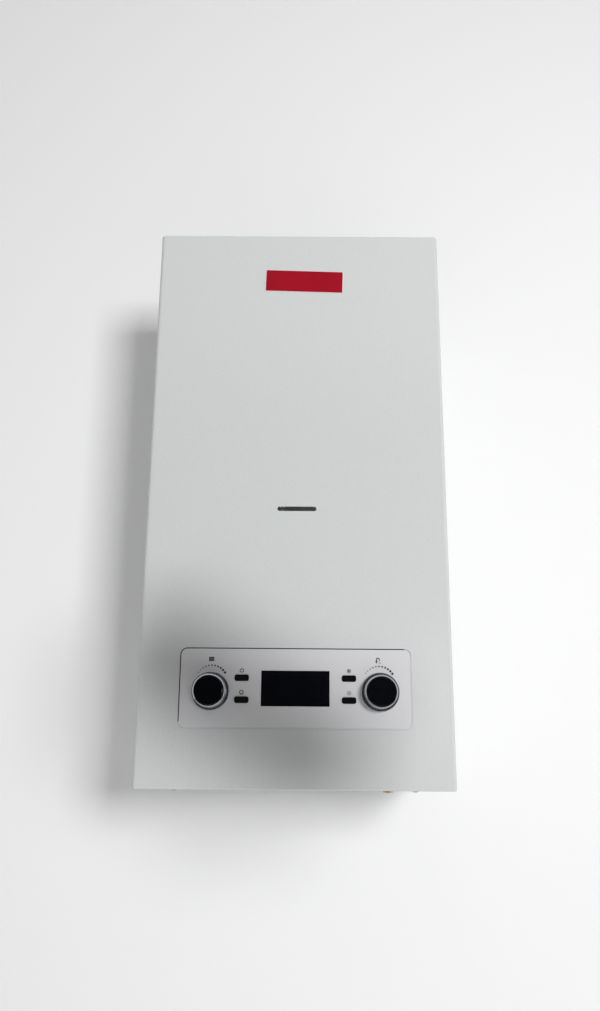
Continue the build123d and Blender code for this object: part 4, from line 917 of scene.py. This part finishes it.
# dark cloths that only light and reflections meet: a small flag shades a slanting band low on the casing,
# and a wide one far behind the camera stands for a dim room in the glossy parts
def hangCloths():
    cloths = {
        "flag": {"middle": (0.099, -0.732, -0.535), "width": 0.3, "height": 0.12, "slant": -32.0,
                 "glossOnly": False},
        "dimRoom": {"middle": (0.0, -3.7, -0.4), "width": 5.0, "height": 3.4, "slant": 0.0,
                    "glossOnly": True}}
    mat = bpy.data.materials.new("duvetyneNapped")
    mat.use_nodes = True
    mat.node_tree.nodes["Principled BSDF"].inputs["Base Color"].default_value = toLinear("#1C1C1E")
    mat.node_tree.nodes["Principled BSDF"].inputs["Roughness"].default_value = 0.95
    for name, cloth in cloths.items():
        flat = roundedPoints(0, 0, cloth["width"], cloth["height"], cloth["height"] * 0.4, 8)
        turn = Matrix.Rotation(math.radians(cloth["slant"]), 2)
        middle = Vector(cloth["middle"])
        bm = bmesh.new()
        spots = [turn @ Vector(p) for p in flat]
        bm.faces.new([bm.verts.new(middle + Vector((p.x, 0, p.y))) for p in spots])
        mesh = bpy.data.meshes.new(name)
        bm.to_mesh(mesh)
        bm.free()
        mesh.materials.append(mat)
        piece = bpy.data.objects.new(name, mesh)
        bpy.context.scene.collection.objects.link(piece)
        piece.visible_camera = False
        piece.visible_diffuse = not cloth["glossOnly"]
        piece.visible_shadow = not cloth["glossOnly"]


def addSoftbox(name, place, target, width, height, watts):
    lamp = bpy.data.lights.new(name, "AREA")
    lamp.shape = "RECTANGLE"
    lamp.size = width
    lamp.size_y = height
    lamp.energy = watts
    box = bpy.data.objects.new(name, lamp)
    box.location = place
    box.rotation_euler = (Vector(target) - Vector(place)).to_track_quat("-Z", "Y").to_euler()
    bpy.context.scene.collection.objects.link(box)
    return box


def lightScene():
    light = {"sky": 0.25, "seen": 1.0}
    world = bpy.data.worlds.new("studio")
    world.use_nodes = True
    tree = world.node_tree
    tree.nodes.clear()
    out = addNode(tree, "ShaderNodeOutputWorld")
    rays = addNode(tree, "ShaderNodeLightPath")
    some = addNode(tree, "ShaderNodeMath", {"operation": "MAXIMUM"}, i0=(rays, "Is Camera Ray"),
                   i1=(rays, "Is Glossy Ray"))
    seen = addNode(tree, "ShaderNodeMath", {"operation": "MAXIMUM"}, i0=(some, 0),
                   i1=(rays, "Is Transmission Ray"))
    power = addNode(tree, "ShaderNodeMapRange", None, Value=(seen, 0), To_Min=light["sky"],
                    To_Max=light["seen"])
    sky = addNode(tree, "ShaderNodeBackground", None, Color=(1.0, 1.0, 1.0, 1.0), Strength=(power, 0))
    tree.links.new(sky.outputs[0], out.inputs[0])
    bpy.context.scene.world = world
    key = addSoftbox("key_softbox", (1.0, -3.0, -0.15), (0.0, -0.1, -0.35), 0.7, 0.7, 61.0)
    key.visible_glossy = False
    addSoftbox("window_strip", (0.5, -2.45, -0.53), (0.17, -0.3, -0.585), 0.14, 0.3, 0.9)


# the photograph's view: just below the middle, tipped up
def placeCamera():
    view = {"x": 0.0095, "y": -1.3583, "z": -0.6176, "pitch": 14.448, "yaw": -0.292, "roll": 0.472,
            "focalPixels": 820.0, "imagePixels": 1011.0, "sensorMm": 36.0}
    lens = bpy.data.cameras.new("camera")
    lens.sensor_fit = "VERTICAL"
    lens.sensor_height = view["sensorMm"]
    lens.lens = view["focalPixels"] / view["imagePixels"] * view["sensorMm"]
    lens.clip_start = 0.01
    camera = bpy.data.objects.new("camera", lens)
    tip = Matrix.Rotation(math.radians(90 + view["pitch"]), 4, "X")
    turn = Matrix.Rotation(-math.radians(view["yaw"]), 4, "Z")
    roll = Matrix.Rotation(math.radians(view["roll"]), 4, "Z")
    camera.matrix_world = Matrix.Translation((view["x"], view["y"], view["z"])) @ turn @ tip @ roll
    bpy.context.scene.collection.objects.link(camera)
    bpy.context.scene.camera = camera


makeStage()
hangCloths()
lightScene()
placeCamera()
bpy.context.scene.view_settings.view_transform = "Standard"
print("stage, lights and camera set")
